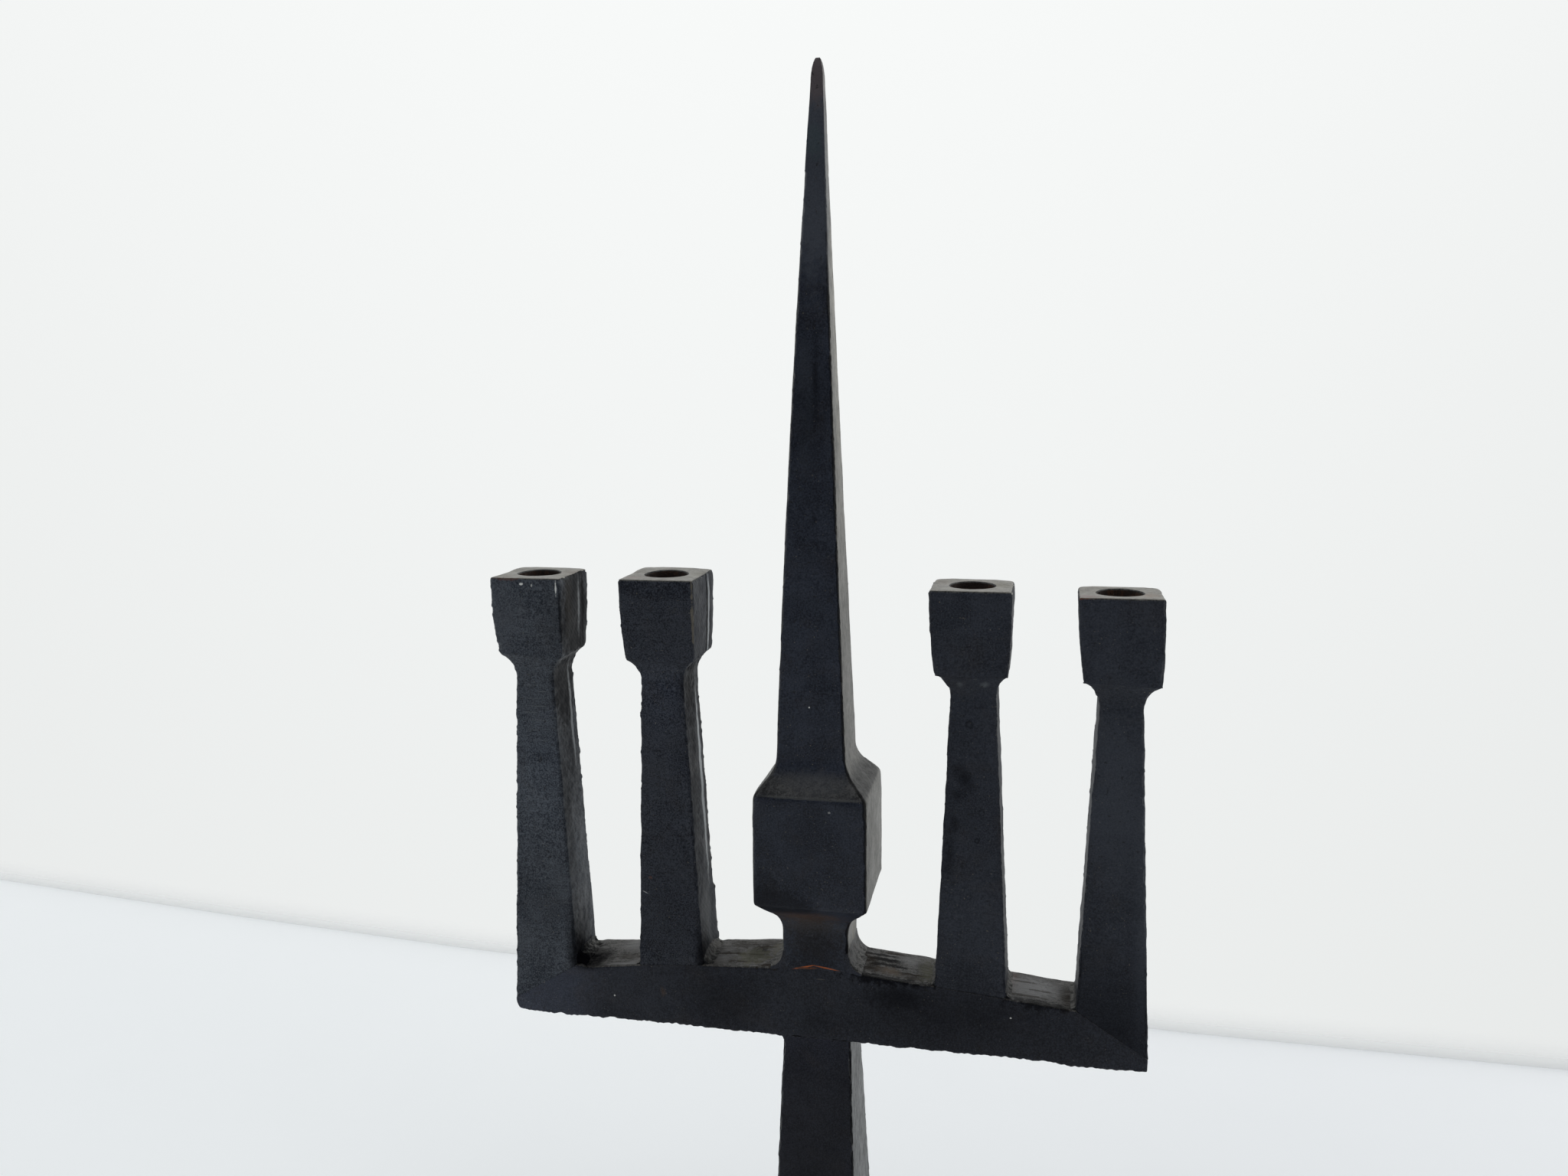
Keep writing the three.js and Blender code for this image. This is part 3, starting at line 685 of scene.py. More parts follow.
postMarks = {
    "outer_left": [
        # Painted light brightens the front; the dark marks on the cup's right side, the side's front strip, the edge
        # line and the foot by the bar are painted shade, beside painted highlight lines
        haze((-148, -16, 372), (34, 14, 58), 1.35, ragged=0.5),
        haze((-166, -20, 455), (24, 8, 40), paleHaze, 0.5, 0.5),
        haze((-150, -16, 300), (40, 20, 40), sootAndShade, 0.15, 0.5),
        haze((-130, -19, 455), (16, 8, 34), sootAndShade, 0.3, 0.5, shine=0.3),
        patch((-128.5, 2, 452), (5, 26, 40), sootAndShade, 0.85, 0.7, shine=0.06),
        haze((-128.5, -9, 462), (3, 9, 26), (0.020, 0.015, 0.011, 1), 0.6),
        patch((-129.7, -19, 452), (0.8, 3, 26), sootAndShade, 0.6, 0.8),
        haze((-129.5, 6.0, 458), (5, 2.4, 22), paintedHighlight, 0.45, shine=0.7),
        patch((-129.5, 11.5, 455), (5, 2.2, 26), sootAndShade, 0.8, 0.8),
        patch((-135.5, 0, 418), (6.5, 20, 32), sootAndShade, 0.8, 0.8, shine=0.06),
        haze((-133.2, -9, 345), (3.4, 12, 100), sootAndShade, 0.85, 0.5, turn=2.9),
        haze((-135.5, 3, 380), (5, 18, 66), sootAndShade, 0.7, turn=2.9),
        patch((-136.2, 6.8, 398), (6, 1.9, 36), paintedHighlight, 0.4, 0.9, shine=0.7),
        haze((-131, -9, 268), (8, 28, 44), sootAndShade, ragged=0.6),
        patch((-149.9, -20, 473.1), (1.3, 3, 0.7), scuff, ragged=2.2),
        patch((-144.1, -20, 472.6), (0.6, 3, 1.1), scuff, 0.5, 2),
        patch((-131.0, -19.5, 470.5), (0.5, 2, 4.5), scuff, ragged=1.8),
        patch((-158, -16, 475.8), (9, 9, 1.6), rust, 0.5),
    ] + [
        patch((x, -14.6, z), (long, 2, 0.32), palePaste, strength, 2.2)
        for x, z, long, strength in (
            (-150, 418.5, 6, 0.5), (-144, 415.2, 4, 0.6), (-148, 411.4, 8, 0.4), (-146, 407.3, 7, 0.5),
                                     (-151, 403.8, 6, 0.45), (-147, 399.6, 8, 0.4), (-149, 394.2, 6, 0.4), (-146,
                                      388.8, 7, 0.3))
    ],
    "inner_left": [
        # Painted reflection on the cup's side: a highlight line between two dark lines; the dark marks on the post's
        # side and at its foot by the bar are painted shade, the lighter front painted light
        patch((-59.0, 5.4, 455), (6, 1.4, 34), sootAndShade, ragged=0.5),
        patch((-59.0, 8.6, 455), (6, 1.9, 28), paintedHighlight, 0.8, 0.8, shine=1.0),
        patch((-59.0, 12.5, 455), (6, 1.6, 34), sootAndShade, 0.6, 0.5),
        haze((-66.0, -2, 418), (7, 24, 36), sootAndShade, 0.85),
        haze((-61.9, -8, 352), (3.4, 12, 100), sootAndShade, 0.75, 0.6, turn=3.4),
        haze((-66.0, -3, 385), (5, 12, 52), sootAndShade, 0.5, shine=0.08, turn=3.4),
        haze((-78, -15, 416), (22, 10, 32), 1.5, ragged=0.5),
        patch((-64.0, 6.8, 364), (7, 2.5, 68), paintedHighlight, ragged=0.7, shine=1.0),
        patch((-64.0, 11.5, 360), (7, 2.4, 70), sootAndShade, 0.35, 0.8),
        haze((-60.0, 2, 290), (7, 20, 34), palePaste, 0.35, 1.4),
        haze((-60.5, -12, 274), (6, 18, 28), sootAndShade, 0.9, 0.6),
        haze((-77, -16, 300), (30, 8, 85), sootAndShade, 0.26, 0.5),
        haze((-77, -20, 452), (34, 8, 30), sootAndShade, 0.12),
        patch((-59.3, -19.3, 455), (0.8, 2, 26), tan, 0.5, 2.0),
        patch((-87.5, -15.5, 316.8), (1.6, 2, 1.4), (0.075, 0.036, 0.026, 1), 0.6),
        patch((-90.3, -15.5, 308.6), (2.6, 2, 0.35), scuff, 0.4, turn=-25),
    ],
    "inner_right": [
        patch((67.2, -19, 475.6), (2.6, 2, 0.8), tan, ragged=2),
        haze((80, -16, 268), (30, 8, 28), sootAndShade, 0.4),
        haze((84.8, -15, 428.4), (3.2, 3, 2.4), palePaste, 0.55, 1.6),
        haze((73.0, -15, 428.9), (2.4, 3, 2.6), palePaste, 0.45, 1.6),
        patch((97.8, -8, 452), (3, 10, 22), (0.13, 0.12, 0.14, 1), 0.7, 1.6),
        haze((75.3, -14.6, 381), (6, 2, 12), sootAndShade, 0.6, 0.8, turn=30),
        haze((72.6, -14.6, 372), (5, 2, 5), sootAndShade, 0.5, 0.8),
        haze((68.5, -15, 340), (5, 2, 20), sootAndShade, 0.55, 0.8),
        haze((71.0, -15, 356), (4, 2, 7), sootAndShade, 0.5),
    ] + [
        patch((x, -14.8, z), (size, 2, size), sootAndShade, strength, 0.9, ring=True)
        for x, z, size, strength in ((77.7, 407.9, 2.1, 0.5), (76.4, 398.1, 1.7, 0.25), (84.3, 363.2, 1.7, 0.3),
                                     (82.2, 348.8, 1.3, 0.5), (76.0, 335.6, 1.7, 0.3), (78.5, 319.4, 1.6, 0.25))
    ],
    "outer_right": [
        haze((149, -16, 375), (40, 30, 75), paleHaze, 0.3),
        haze((146, -16, 248), (60, 12, 80), sootAndShade, 0.62, 0.5),
        haze((163, -16, 330), (7, 8, 100), paleHaze, 0.4),
        patch((130.5, -18.5, 474), (6, 3, 2.6), rust, 0.9, 1.6),
    ],
}


stain = (0.085, 0.055, 0.030, 1)
olive = (0.085, 0.075, 0.038, 1)
# On the cups' tops: x, y, how far along and across, colour, strength
mouthStains = {
    "outer_left": [(-161, -14, 9, 6, stain, 0.6), (-132, 4, 7, 14, stain, 0.6), (-150, 17, 14, 5, olive, 0.4)],
    "inner_left": [(-92, -13, 8, 6, rust, 0.7), (-62, 2, 7, 14, olive, 0.5), (-84, 17, 12, 5, stain, 0.4)],
    "inner_right": [(91, 2, 8, 14, olive, 0.8), (63, 8, 6, 12, stain, 0.5), (76, -16, 14, 4, olive, 0.4)],
    "outer_right": [(132, -13, 7, 6, (0.13, 0.07, 0.06, 1), 0.9), (160, -6, 8, 12, (0.12, 0.07, 0.035, 1), 0.85),
                    (140, 13, 12, 6, stain, 0.5)],
}


def mouthFinish(name, side):
    # The pale edge colour lightens the rims: wear, and a painted highlight along them
    look = {"dark": (0.030, 0.029, 0.026, 1), "light": (0.075, 0.071, 0.060, 1), "brown": (0.060, 0.042, 0.024, 1),
            "top": (0.170, 0.155, 0.125, 1), "edge": (0.26, 0.25, 0.23, 1), "brownShare": 0.7, "ior": 1.5,
            "roughness": (0.36, 0.52), "patch": 9, "mottle": 2.4, "topShine": 0.85, "topSpread": 0.3, "topDark": 0.5}
    topZ = postTable[side]["top"] + barZ
    return ironFinish(name, look, [haze((x, y, topZ), (along, across, 5), colour, strength, 1.4)
                                   for x, y, along, across, colour, strength in mouthStains[side]])


socketIron = ironFinish("socketIron", {
    "dark": (0.012, 0.009, 0.008, 1), "light": (0.040, 0.024, 0.016, 1), "brown": (0.07, 0.030, 0.014, 1),
    "top": (0.02, 0.014, 0.010, 1), "brownShare": 0.8, "roughness": (0.6, 0.8), "patch": 8, "mottle": 2})


# Below its nib, one post's back corner stands out a little
def nib(place, normal):
    if place.x < -68 or place.y < 6:
        return 0.0
    bump = max(0.0, 1 - abs(place.z - 302.5) / 2.2)
    return clamp((place.y - 6) / 6) * (0.55 * clamp((304 - place.z) / 2) + 0.45 * bump)


# A cup's shoulders hang lower than drawn on one side or both, its lower left corner may be cut off, and its mouth
# tips forward
def postLean(own, shoulderZ, topZ):
    def sag(place, normal):
        right = clamp(0.5 + (place.x - own["neck"][0]) / 12)
        above = min(1.0, (shoulderZ + post["sagAbove"] - place.z) / post["sagAbove"])
        below = min(1.0, (place.z - shoulderZ + post["sagBelow"]) / 8)
        return max(0.0, min(above, below)) * mix(*own["sag"], right) / post["sagHeight"]

    def backRim(place, normal):
        return clamp((place.y - 2) / 12) * clamp((place.z - topZ + 7) / 5)

    def lowerLeft(place, normal):
        inwards = max(0.0, place.x - own["shoulder"][0] + own["shoulder"][1] / 2)
        return max(0.0, 1 - abs(place.z - shoulderZ + 1.6) / 3) * max(0.0, 1 - inwards / 9)

    chamfer = [shift(own["chamfer"], "X", lowerLeft)] if "chamfer" in own else []
    return chamfer + [shift(post["sagHeight"], "Z", sag, backwards), shift(own["lift"], "Z", backRim)]


def makePost(side):
    own = postTable[side]
    piece = candlePost(side)
    topZ = barZ + own["top"]
    shoulderZ = topZ - post["cupHeight"]

    def backCorners(place, normal):
        return clamp((fromSocket(own, place) - 21) / 3) if place.z > shoulderZ + 4 and place.y > 8 else 0.0

    shoulderX, shoulderWidth = own["shoulder"]
    corners = [(shoulderX + a * shoulderWidth / 2, b * post["shoulderDepth"] / 2, shoulderZ)
               for a in (-1, 1) for b in (-1, 1)]
    soften(piece, own["worn"], nearCorners(corners, post["cornerReach"]))
    soften(piece, post["backWorn"], backCorners)
    relief = postRelief(own) + postLean(own, shoulderZ, topZ)
    if side == "inner_left":
        relief.append(shift(1.5, "X", nib))
    workSurface(piece, relief)
    closeEnds(lambda middle: True)
    look = {"outer_left": paleLitLook, "inner_left": patchyLook}.get(side, postLook)
    dress(piece, ironFinish(f"{side}Iron", look, postMarks[side]), mouthFinish(f"{side}Mouth", side), socketIron)
    for face in piece.data.polygons:
        middle = face.center / mm
        if fromSocket(own, middle) < post["socket"] / 2 + 0.2 and middle.z > topZ - 36:
            face.material_index = 2
        elif middle.z > topZ - 2.6 and face.normal.z > 0.8:
            face.material_index = 1
    finishPiece(piece, f"candle_post_{side}")


for side in postTable:
    makePost(side)
print("candle posts done")


# Spire, with its knob and neck

spire = {
    "neckX": 0.5, "neckWidth": 34, "neckDepth": 31, "foot": 38.6, "knobX": 0.3, "knob": 57.8,
    "knobBottom": 77.5, "knobTop": 134.8, "knobHollow": 17, "knobSlope": 46, "hollowSteps": 8,
    "rootX": -0.5, "rootWidth": 35.2, "tipWidth": 6, "endWidth": 1.7, "swell": 0.5, "bend": 3.8, "top": 487,
    "tipRound": 12, "tipLevels": (0.35, 0.6, 0.8, 0.92, 0.98), "steps": 8, "edge": 1.3, "sharpTip": 60,
    "topEase": 1.5, "bottomEase": 0.9, "worn": 28, "cornerReach": 11, "cell": 1.2,
}


def spireStations():
    own = spire
    neckHalf, knobHalf, rootHalf = own["neckWidth"] / 2, own["knob"] / 2, own["rootWidth"] / 2
    stations = [(own["neckX"], own["foot"], neckHalf, own["neckDepth"] / 2)]
    under = hollowCurve(own["knobHollow"], own["knobSlope"], knobHalf - neckHalf, own["hollowSteps"])
    for rise, grow in under:
        share = grow / (knobHalf - neckHalf)
        stations.append((mix(own["neckX"], own["knobX"], share), own["knobBottom"] - under[-1][0] + rise,
                         neckHalf + grow, mix(own["neckDepth"] / 2, knobHalf, share)))
    stations.append((own["knobX"], own["knobTop"], knobHalf, knobHalf))
    over = hollowCurve(own["knobHollow"], own["knobSlope"], knobHalf - rootHalf, own["hollowSteps"])
    rootZ = own["knobTop"] + over[-1][0]
    for rise, grow in reversed(over[:-1]):
        stations.append((mix(own["rootX"], own["knobX"], grow / (knobHalf - rootHalf)),
                         rootZ - rise, rootHalf + grow, rootHalf + grow))
    tipZ = own["top"] - own["tipRound"]

    def addBlade(z, half):
        x = own["rootX"] + own["bend"] * ((z - rootZ) / (own["top"] - rootZ)) ** 2
        stations.append((x, z, half, half))

    for step in range(1, own["steps"] + 1):
        share = step / own["steps"]
        addBlade(mix(rootZ, tipZ, share), mix(rootHalf, own["tipWidth"] / 2, share)
                 + own["swell"] * math.sin(math.pi * share))
    closing = 1 - (own["endWidth"] / own["tipWidth"]) ** 2
    for level in own["tipLevels"]:
        addBlade(tipZ + own["tipRound"] * level, own["tipWidth"] / 2 * math.sqrt(1 - closing * level ** 2))
    return inMetres(stations)


spireMarks = [
    haze((-3, -21, 304.5), (27, 12, 8.0), (0.062, 0.034, 0.022, 1), 0.8),
    haze((-2, -17, 300), (24, 10, 11), (0.032, 0.021, 0.014, 1), 0.55),
    patch((0, -16, 289), (17, 4, 13), (0.034, 0.027, 0.024, 1), 0.25, 2.8),
    patch((17, 4, 292), (4, 8, 12), (0.13, 0.115, 0.085, 1), 0.8),
    patch((17.5, -14.5, 283), (2, 1.6, 12), sootAndShade, 0.95, 0.8),
    haze((10, 4, 610), (9, 12, 160), 2.1),
    patch((2, -26, 378), (22, 9, 7), (0.046, 0.048, 0.053, 1), 0.5, 2.4),
    haze((-27, -27, 376), (15, 12, 12), sootAndShade, 0.6, shine=0.12),
    # A pale line along the knob's top front edge: a painted highlight
    patch((2, -29, 370.4), (32, 3, 0.9), (0.070, 0.070, 0.066, 1), 0.6, 1.6),
    patch((2, -8, 680), (16, 16, 75), (0.048, 0.053, 0.064, 1), 0.65),
    patch((-3, -12, 565), (6, 6, 50), (0.030, 0.036, 0.046, 1), 0.3, 1.4),
    haze((0, -12, 560), (20, 14, 80), sootAndShade, 0.4, 0.6),
    haze((0, -30, 345), (34, 8, 40), sootAndShade, 0.2),
    haze((1, -15.5, 282), (24, 8, 26), sootAndShade, 0.55),
    haze((2.4, -10, 575), (2.6, 6, 36), sootAndShade, 0.5, 1.0),
    patch((2.9, -2, 718), (9, 9, 22), (0.085, 0.066, 0.066, 1), 0.75, 0.8),
    patch((1.5, -3, 684), (6, 8, 10), (0.034, 0.052, 0.056, 1), 0.5, 1.4),
    patch((-14, -28.5, 312.5), (25, 8, 12), sootAndShade, 0.6, 0.9, shine=0.1, turn=-14),
    haze((-22, -28.5, 324), (12, 8, 18), sootAndShade, 0.35, shine=0.1),
    patch((10.9, -28.9, 364), (0.9, 2, 0.6), scuff, 0.3, 2),
    patch((-1, -18, 413.7), (0.55, 3, 0.55), scuff, 0.9),
    haze((1.6, -11, 506.4), (2.4, 4, 4.8), sootAndShade, 0.8, 0.8),
]


def makeSpire():
    cell = spire["cell"] * mm
    piece = drawUp("spire_forging", spireStations(), cell)
    tipZ = barHeight + (spire["top"] - spire["sharpTip"]) * mm
    pickEdges(lambda low, high: high.z - low.z > 0.2 * mm and low.z < tipZ)
    roundPicked(spire["edge"])
    for level, ease in ((spire["knobTop"], spire["topEase"]), (spire["knobBottom"], spire["bottomEase"])):
        ring = barHeight + level * mm
        pickEdges(lambda low, high: max(abs(low.z - ring), abs(high.z - ring)) < near / 2)
        roundPicked(ease, 4)
    divideAll(cell)
    closeUp()
    half = spire["knob"] / 2
    corners = [(spire["knobX"] + a * half, b * half, barZ + spire["knobTop"]) for a in (-1, 1) for b in (-1, 1)]
    soften(piece, spire["worn"], nearCorners(corners, spire["cornerReach"]))

    def edges(place, normal):
        return 1.0 if 0.3 < abs(normal.x) < 0.92 and 0.3 < abs(normal.y) < 0.92 else 0.0

    def forged(place, normal):
        return 1.0 if place.z < barZ + 75 else 0.55 if place.z < barZ + 420 else 0.3

    workSurface(piece, skin(forged) + [
        {"size": 26, "height": 0.5, "depth": 1, "where": lambda place, normal: 1 - forged(place, normal)},
        {"size": 3, "height": 0.5, "depth": 2, "contrast": 2.0, "level": 0.8, "where": edges},
    ])
    # The spire's lighter sides are a painted sheen, and its dark front corners painted shade
    look = {"ior": 1.5, "sideSheenShare": 0.9, "side": (0.110, 0.104, 0.086, 1), "sideShine": 0.88, "cornerShadeShare": 0.75,
            "edgeWearAndHighlightShare": 0.4, "patch": 22, "sideSpread": 0.3, "contrast": 0.58,
            "light": (0.0230, 0.0295, 0.0460, 1), "topShine": 0.3, "topSpread": 0.5, "topDark": 0.35,
            "top": (0.044, 0.043, 0.041, 1)}
    dress(piece, ironFinish("spireIron", look, spireMarks + jointMarks))
    finishPiece(piece, "spire")


makeSpire()


# Crossbar: drawn along x from its left end

# On the bar's top: x, y, how far along and across, colour, shine, strength, raggedness
smudge = (0.020, 0.014, 0.009, 1)
bloom = (0.120, 0.120, 0.120, 1)
lichen = (0.070, 0.067, 0.032, 1)
firmRim = 1.9      # marks this ragged or more have a firm rim
topMarks = [
    # By post 1's weld, the dark marks are soot and painted shade in the corner
    (-122, -6, 13, 17, sootAndShade, 0.02, 1.0, 0.8), (-127, -12, 12, 8, sootAndShade, 0, 1.0, 0.4),
    (-104, 8, 13, 10, bloom, 0.7, 0.7, 0.8), (-104, -5, 13, 5, smudge, 0.15, 0.8, 1.4),
    (-105, -12.5, 15, 2.0, bloom, 0.8, 0.8, 1.2), (-52, -4, 11, 16, smudge, 0.1, 0.8, 0.9),
    (-42, 9, 14, 9, smudge, 0.12, 0.8, 1.8), (-30, 10, 10, 6, smudge, 0.12, 0.6, 2.0),
    (-51, -3, 8, 13, bloom, 0.6, 0.6, 1.2), (-33, 0, 7, 8, sootAndShade, 0.02, 0.9, 2.2),
    (-36, -9, 13, 1.8, smudge, 0.03, 0.9, 2.0), (-47, -1, 10, 1.6, smudge, 0.05, 0.9, 2.4),
    (-31, 5, 10, 1.6, smudge, 0.05, 0.9, 2.4), (-35, -4, 11, 10, lichen, 0.35, 0.6, 2.4),
    (-21, 3, 8, 12, olive, 0.5, 0.8, 1.4), (-24, -13, 9, 3, smudge, 0.03, 0.9, 2.2),
    (30, -6, 12, 6, smudge, 0.03, 0.9, 1.8), (36, -1, 14, 1.8, sootAndShade, 0.02, 0.9, 2.4),
    (48, -6, 12, 1.6, smudge, 0.03, 0.9, 2.4), (34, 4, 15, 2.2, sootAndShade, 0.02, 0.9, 2.0),
    (30, 8.5, 11, 1.8, sootAndShade, 0.02, 0.8, 2.0), (38, 12, 10, 1.6, smudge, 0.03, 0.8, 2.0),
    (26, 1, 7, 10, smudge, 0.05, 0.9, 1.8), (50, -9, 12, 5, smudge, 0.05, 0.7, 1.8),
    (38, -6, 9, 6, stain, 0.3, 0.8, 1.6), (47, 7, 8, 8, bloom, 0.6, 0.6, 0.8),
    (58, 0, 8, 18, lichen, 0.2, 0.8, 1.4), (40, -14, 34, 3.5, sootAndShade, 0.03, 0.8, 2.2),
    (100.5, 4, 5, 15, rust, 0.3, 0.8, 1.4), (112, 2, 24, 18, bloom, 0.75, 0.65, 1.2),
    (108, 1, 20, 11, (0.150, 0.150, 0.150, 1), 0.95, 0.5, 2.0), (128, -3, 7, 18, smudge, 0.06, 1.0, 0.8),
    (106, 6, 9, 1.3, smudge, 0.1, 0.7, 2.4), (115, -1, 8, 1.2, smudge, 0.1, 0.7, 2.4),
    (108, -8, 12, 1.6, smudge, 0.05, 0.7, 2.4), (114, -13.5, 22, 3.5, sootAndShade, 0.03, 0.7, 2.0),
]

# How far the bar's top stands up along its back, and hangs down along its front, from x to x
backRise = ((-127, -98, 0.4, 0.4), (-57, -19, 0.7, 0.7), (20, 59, 0.4, 0.4))
frontFall = ((-128, -98, 1.6, 0.1), (-56, -18, 0.1, 1.2), (20, 58, 0.5, 0.5))


def unevenTop(ranges, acrossSign):
    def where(place, normal):
        for low, high, first, last in ranges:
            if low < place.x < high:
                ends = min(1.0, (place.x - low) / 2.5, (high - place.x) / 2.5)
                across = clamp((acrossSign * place.y + 4) / 14)
                down = clamp((place.z - barZ - barTop(place.x) + 9) / 8)
                return ends * across * down * mix(first, last, (place.x - low) / (high - low)) / bar["unevenness"]
        return 0.0
    return where


barMarks = [
    haze((75, -15, 255), (95, 20, 30), sootAndShade, 0.4, 0.6),
    patch((2.6, -15.5, 268.4), (3, 2, 0.5), (0.05, 0.045, 0.04, 1), 0.7, 2),
    haze((-160, -15.5, 250), (50, 12, 44), 4.0, ragged=0.5),
    haze((-160, -15.5, 250), (50, 12, 40), (0.035, 0.039, 0.046, 1), 0.35, 0.6),
    haze((1, -15.5, 243), (28, 6, 14), sootAndShade, 0.25),
    haze((42, -15.5, 262), (24, 6, 11), sootAndShade, 0.6, 0.8),
    haze((-50, -15.5, 252), (40, 12, 34), sootAndShade, 0.4),
    haze((-82.4, -15.5, 252.8), (2.2, 3, 4), (0.060, 0.034, 0.020, 1), 0.55, 1.4),
    patch((100.2, -15.5, 256.8), (0.55, 2, 0.5), scuff, 0.8),
    patch((-109.7, -15.5, 248.3), (0.6, 2, 0.6), scuff, 0.7),
    patch((-136.7, -15.5, 262.1), (5, 2, 0.6), palePaste, 0.35, 2, turn=30),
    patch((-145.9, -15.5, 255.4), (7, 2, 0.6), palePaste, 0.3, 2, turn=28),
] + [
    patch((x, y, barZ + barTop(x)), (along, across, 5), colour, strength, ragged, ragged < firmRim, shine=shine)
    for x, y, along, across, colour, shine, strength, ragged in topMarks
]


def makeCrossbar():
    half = bar["length"] / 2 - bar["inset"]
    neck = (spire["neckX"] - spire["neckWidth"] / 2, spire["neckX"] + spire["neckWidth"] / 2)
    feet = [(x - width / 2 + bar["footInset"], x + width / 2 - bar["footInset"])
            for x, width in (own["root"] for own in postTable.values())]
    places = {-half, half, 0.0, *neck, *(x for foot in feet for x in foot if abs(x) < half - bar["endClear"])}
    cell = bar["cell"] * mm
    height = barTop(half)
    piece = startPlate("crossbar_forging", height / 2 * mm, bar["depth"] / 2 * mm)
    bpy.ops.transform.rotate(value=math.pi / 2, orient_axis="Y", center_override=(0, 0, 0))
    bpy.ops.transform.translate(value=(-half * mm, 0, barHeight + height / 2 * mm))
    x = -half
    for goal in sorted(places)[1:]:
        extrude((goal - x) * mm, 0, 0)
        scaleAbout((goal * mm, 0, barHeight), 1, 1, barTop(goal) / height)
        x, height = goal, barTop(goal)
    # the bottom corners are round, and the free edges along the top are eased
    for end, corner in ((-half, bar["leftRound"]), (half, bar["rightRound"])):
        pickEdges(lambda low, high: abs(low.x - end * mm) < near and abs(high.y - low.y) > 20 * mm
                  and high.z < barHeight + 1 * mm)
        roundPicked(corner, 6)

    def free(low, high):
        middle = (low + high) / 2 / mm
        if abs(high.x - low.x) < 0.6 * (high - low).length or abs(abs(middle.y) - bar["depth"] / 2) > 0.2:
            return False
        if middle.z < barZ + 8:
            return middle.z < barZ + 0.5
        if abs(middle.z - barZ - barTop(middle.x)) > 1:
            return False
        return not any(a - 0.5 < middle.x < b + 0.5 for a, b in feet + [neck])

    pickEdges(free)
    roundPicked(bar["edge"])
    for side in ("outer_left", "outer_right"):
        cutAway(*mitrePlane(postTable[side]), False)
    divideAll(cell, (0, 2, 1))
    closeUp()

    def underEdge(place, normal):
        return 1.0 if place.z < barZ + 1.2 and abs(place.y) > bar["depth"] / 2 - 1.2 else 0.0

    def under(place, normal):
        return 1.0 if place.z < barZ + 2 else 0.0

    def ends(place, normal):
        return under(place, normal) * clamp((abs(place.x) - 116) / 14)

    workSurface(piece, skin() + [
        {"size": 9, "height": 0.9, "depth": 1, "level": 0.62, "where": under, "direction": "Z"},
        {"size": 3, "height": 0.8, "depth": 1, "contrast": 2.2, "level": 0.7, "where": underEdge, "direction": "Z"},
        {"size": 40, "height": 0.7, "depth": 1, "level": 1.3, "where": ends, "direction": "Z"},
        shift(bar["unevenness"], "Z", unevenTop(backRise, 1)),
        shift(bar["unevenness"], "Z", unevenTop(frontFall, -1), backwards),
    ])
    closeEnds(lambda middle: middle.x < 0, lambda middle: middle.x > 0)
    look = {"top": (0.066, 0.062, 0.057, 1), "drag": 0.45, "topSpread": 0.75, "dark": (0.0014, 0.0020, 0.0048, 1),
            "light": (0.0140, 0.0172, 0.0270, 1), "topShine": 0.42}
    dress(piece, ironFinish("barIron", look, barMarks + jointMarks))
    finishPiece(piece, "crossbar")


makeCrossbar()


# Stem, from the base plate up to the crossbar

stem = {"topWidth": 35.6, "topDepth": 31, "x": 1.0, "widthFlare": 0.034, "depthFlare": 0.113, "edge": 1.2,
 "cell": 1.1}


def makeStem():
    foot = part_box("stem")[0].z
    length = barZ - foot / mm
    top = (stem["x"], length, stem["topWidth"] / 2, stem["topDepth"] / 2)
    low = (stem["x"], 0, top[2] + stem["widthFlare"] * length, top[3] + stem["depthFlare"] * length)
    stations = [(x * mm, foot + z * mm, halfX * mm, halfY * mm) for x, z, halfX, halfY in (low, top)]
    cell = stem["cell"] * mm
    piece = drawUp("stem_forging", stations, cell)
    pickEdges(lambda low, high: high.z - low.z > 5 * mm)
    roundPicked(stem["edge"])
    divideAll(cell)
    closeUp()

    def sides(place, normal):
        return max(0.0, abs(normal.x) - 0.25) * 1.4

    def corners(place, normal):
        return 1.0 if 0.25 < abs(normal.x) < 0.93 else 0.0

    workSurface(piece, skin() + [
        {"size": 7, "height": 0.4, "depth": 2, "where": sides},
        {"size": 3.4, "height": 0.9, "depth": 2, "contrast": 2.2, "level": 0.8, "where": corners},
    ])
    # The stem's lighter sides are a painted sheen, and its dark front corners painted shade
    look = {"dark": (0.0012, 0.0016, 0.0038, 1), "light": (0.0112, 0.0124, 0.0200, 1), "lines": 0.08, "lineGap": 2.0,
            "ior": 1.5, "frontShine": 0.22, "sideShine": 0.6, "sideSheenShare": 0.8, "side": (0.075, 0.080, 0.078, 1),
            "cornerShadeShare": 0.8, "edgeWearAndHighlightShare": 0.3, "specks": 0.08}
    dress(piece, ironFinish("stemIron", look, [
        # Painted light: the front is lighter near the top and darker lower down, towards the table
        haze((1, -16, 238), (40, 14, 34), 1.7),
        haze((1, -26, 165), (34, 12, 60), sootAndShade, 0.3, shine=0.15),
    ]))
    finishPiece(piece, "stem")


makeStem()


# Base plate, with a counterbored hole for the bolt

base = {"width": 169.5, "depth": 169.5, "thickness": 20, "topEdge": 4, "bottomEdge": 0.8, "corner": 5, "hole": 12.6,
        "counterbore": 28, "counterboreDepth": 11, "cell": 2.0}


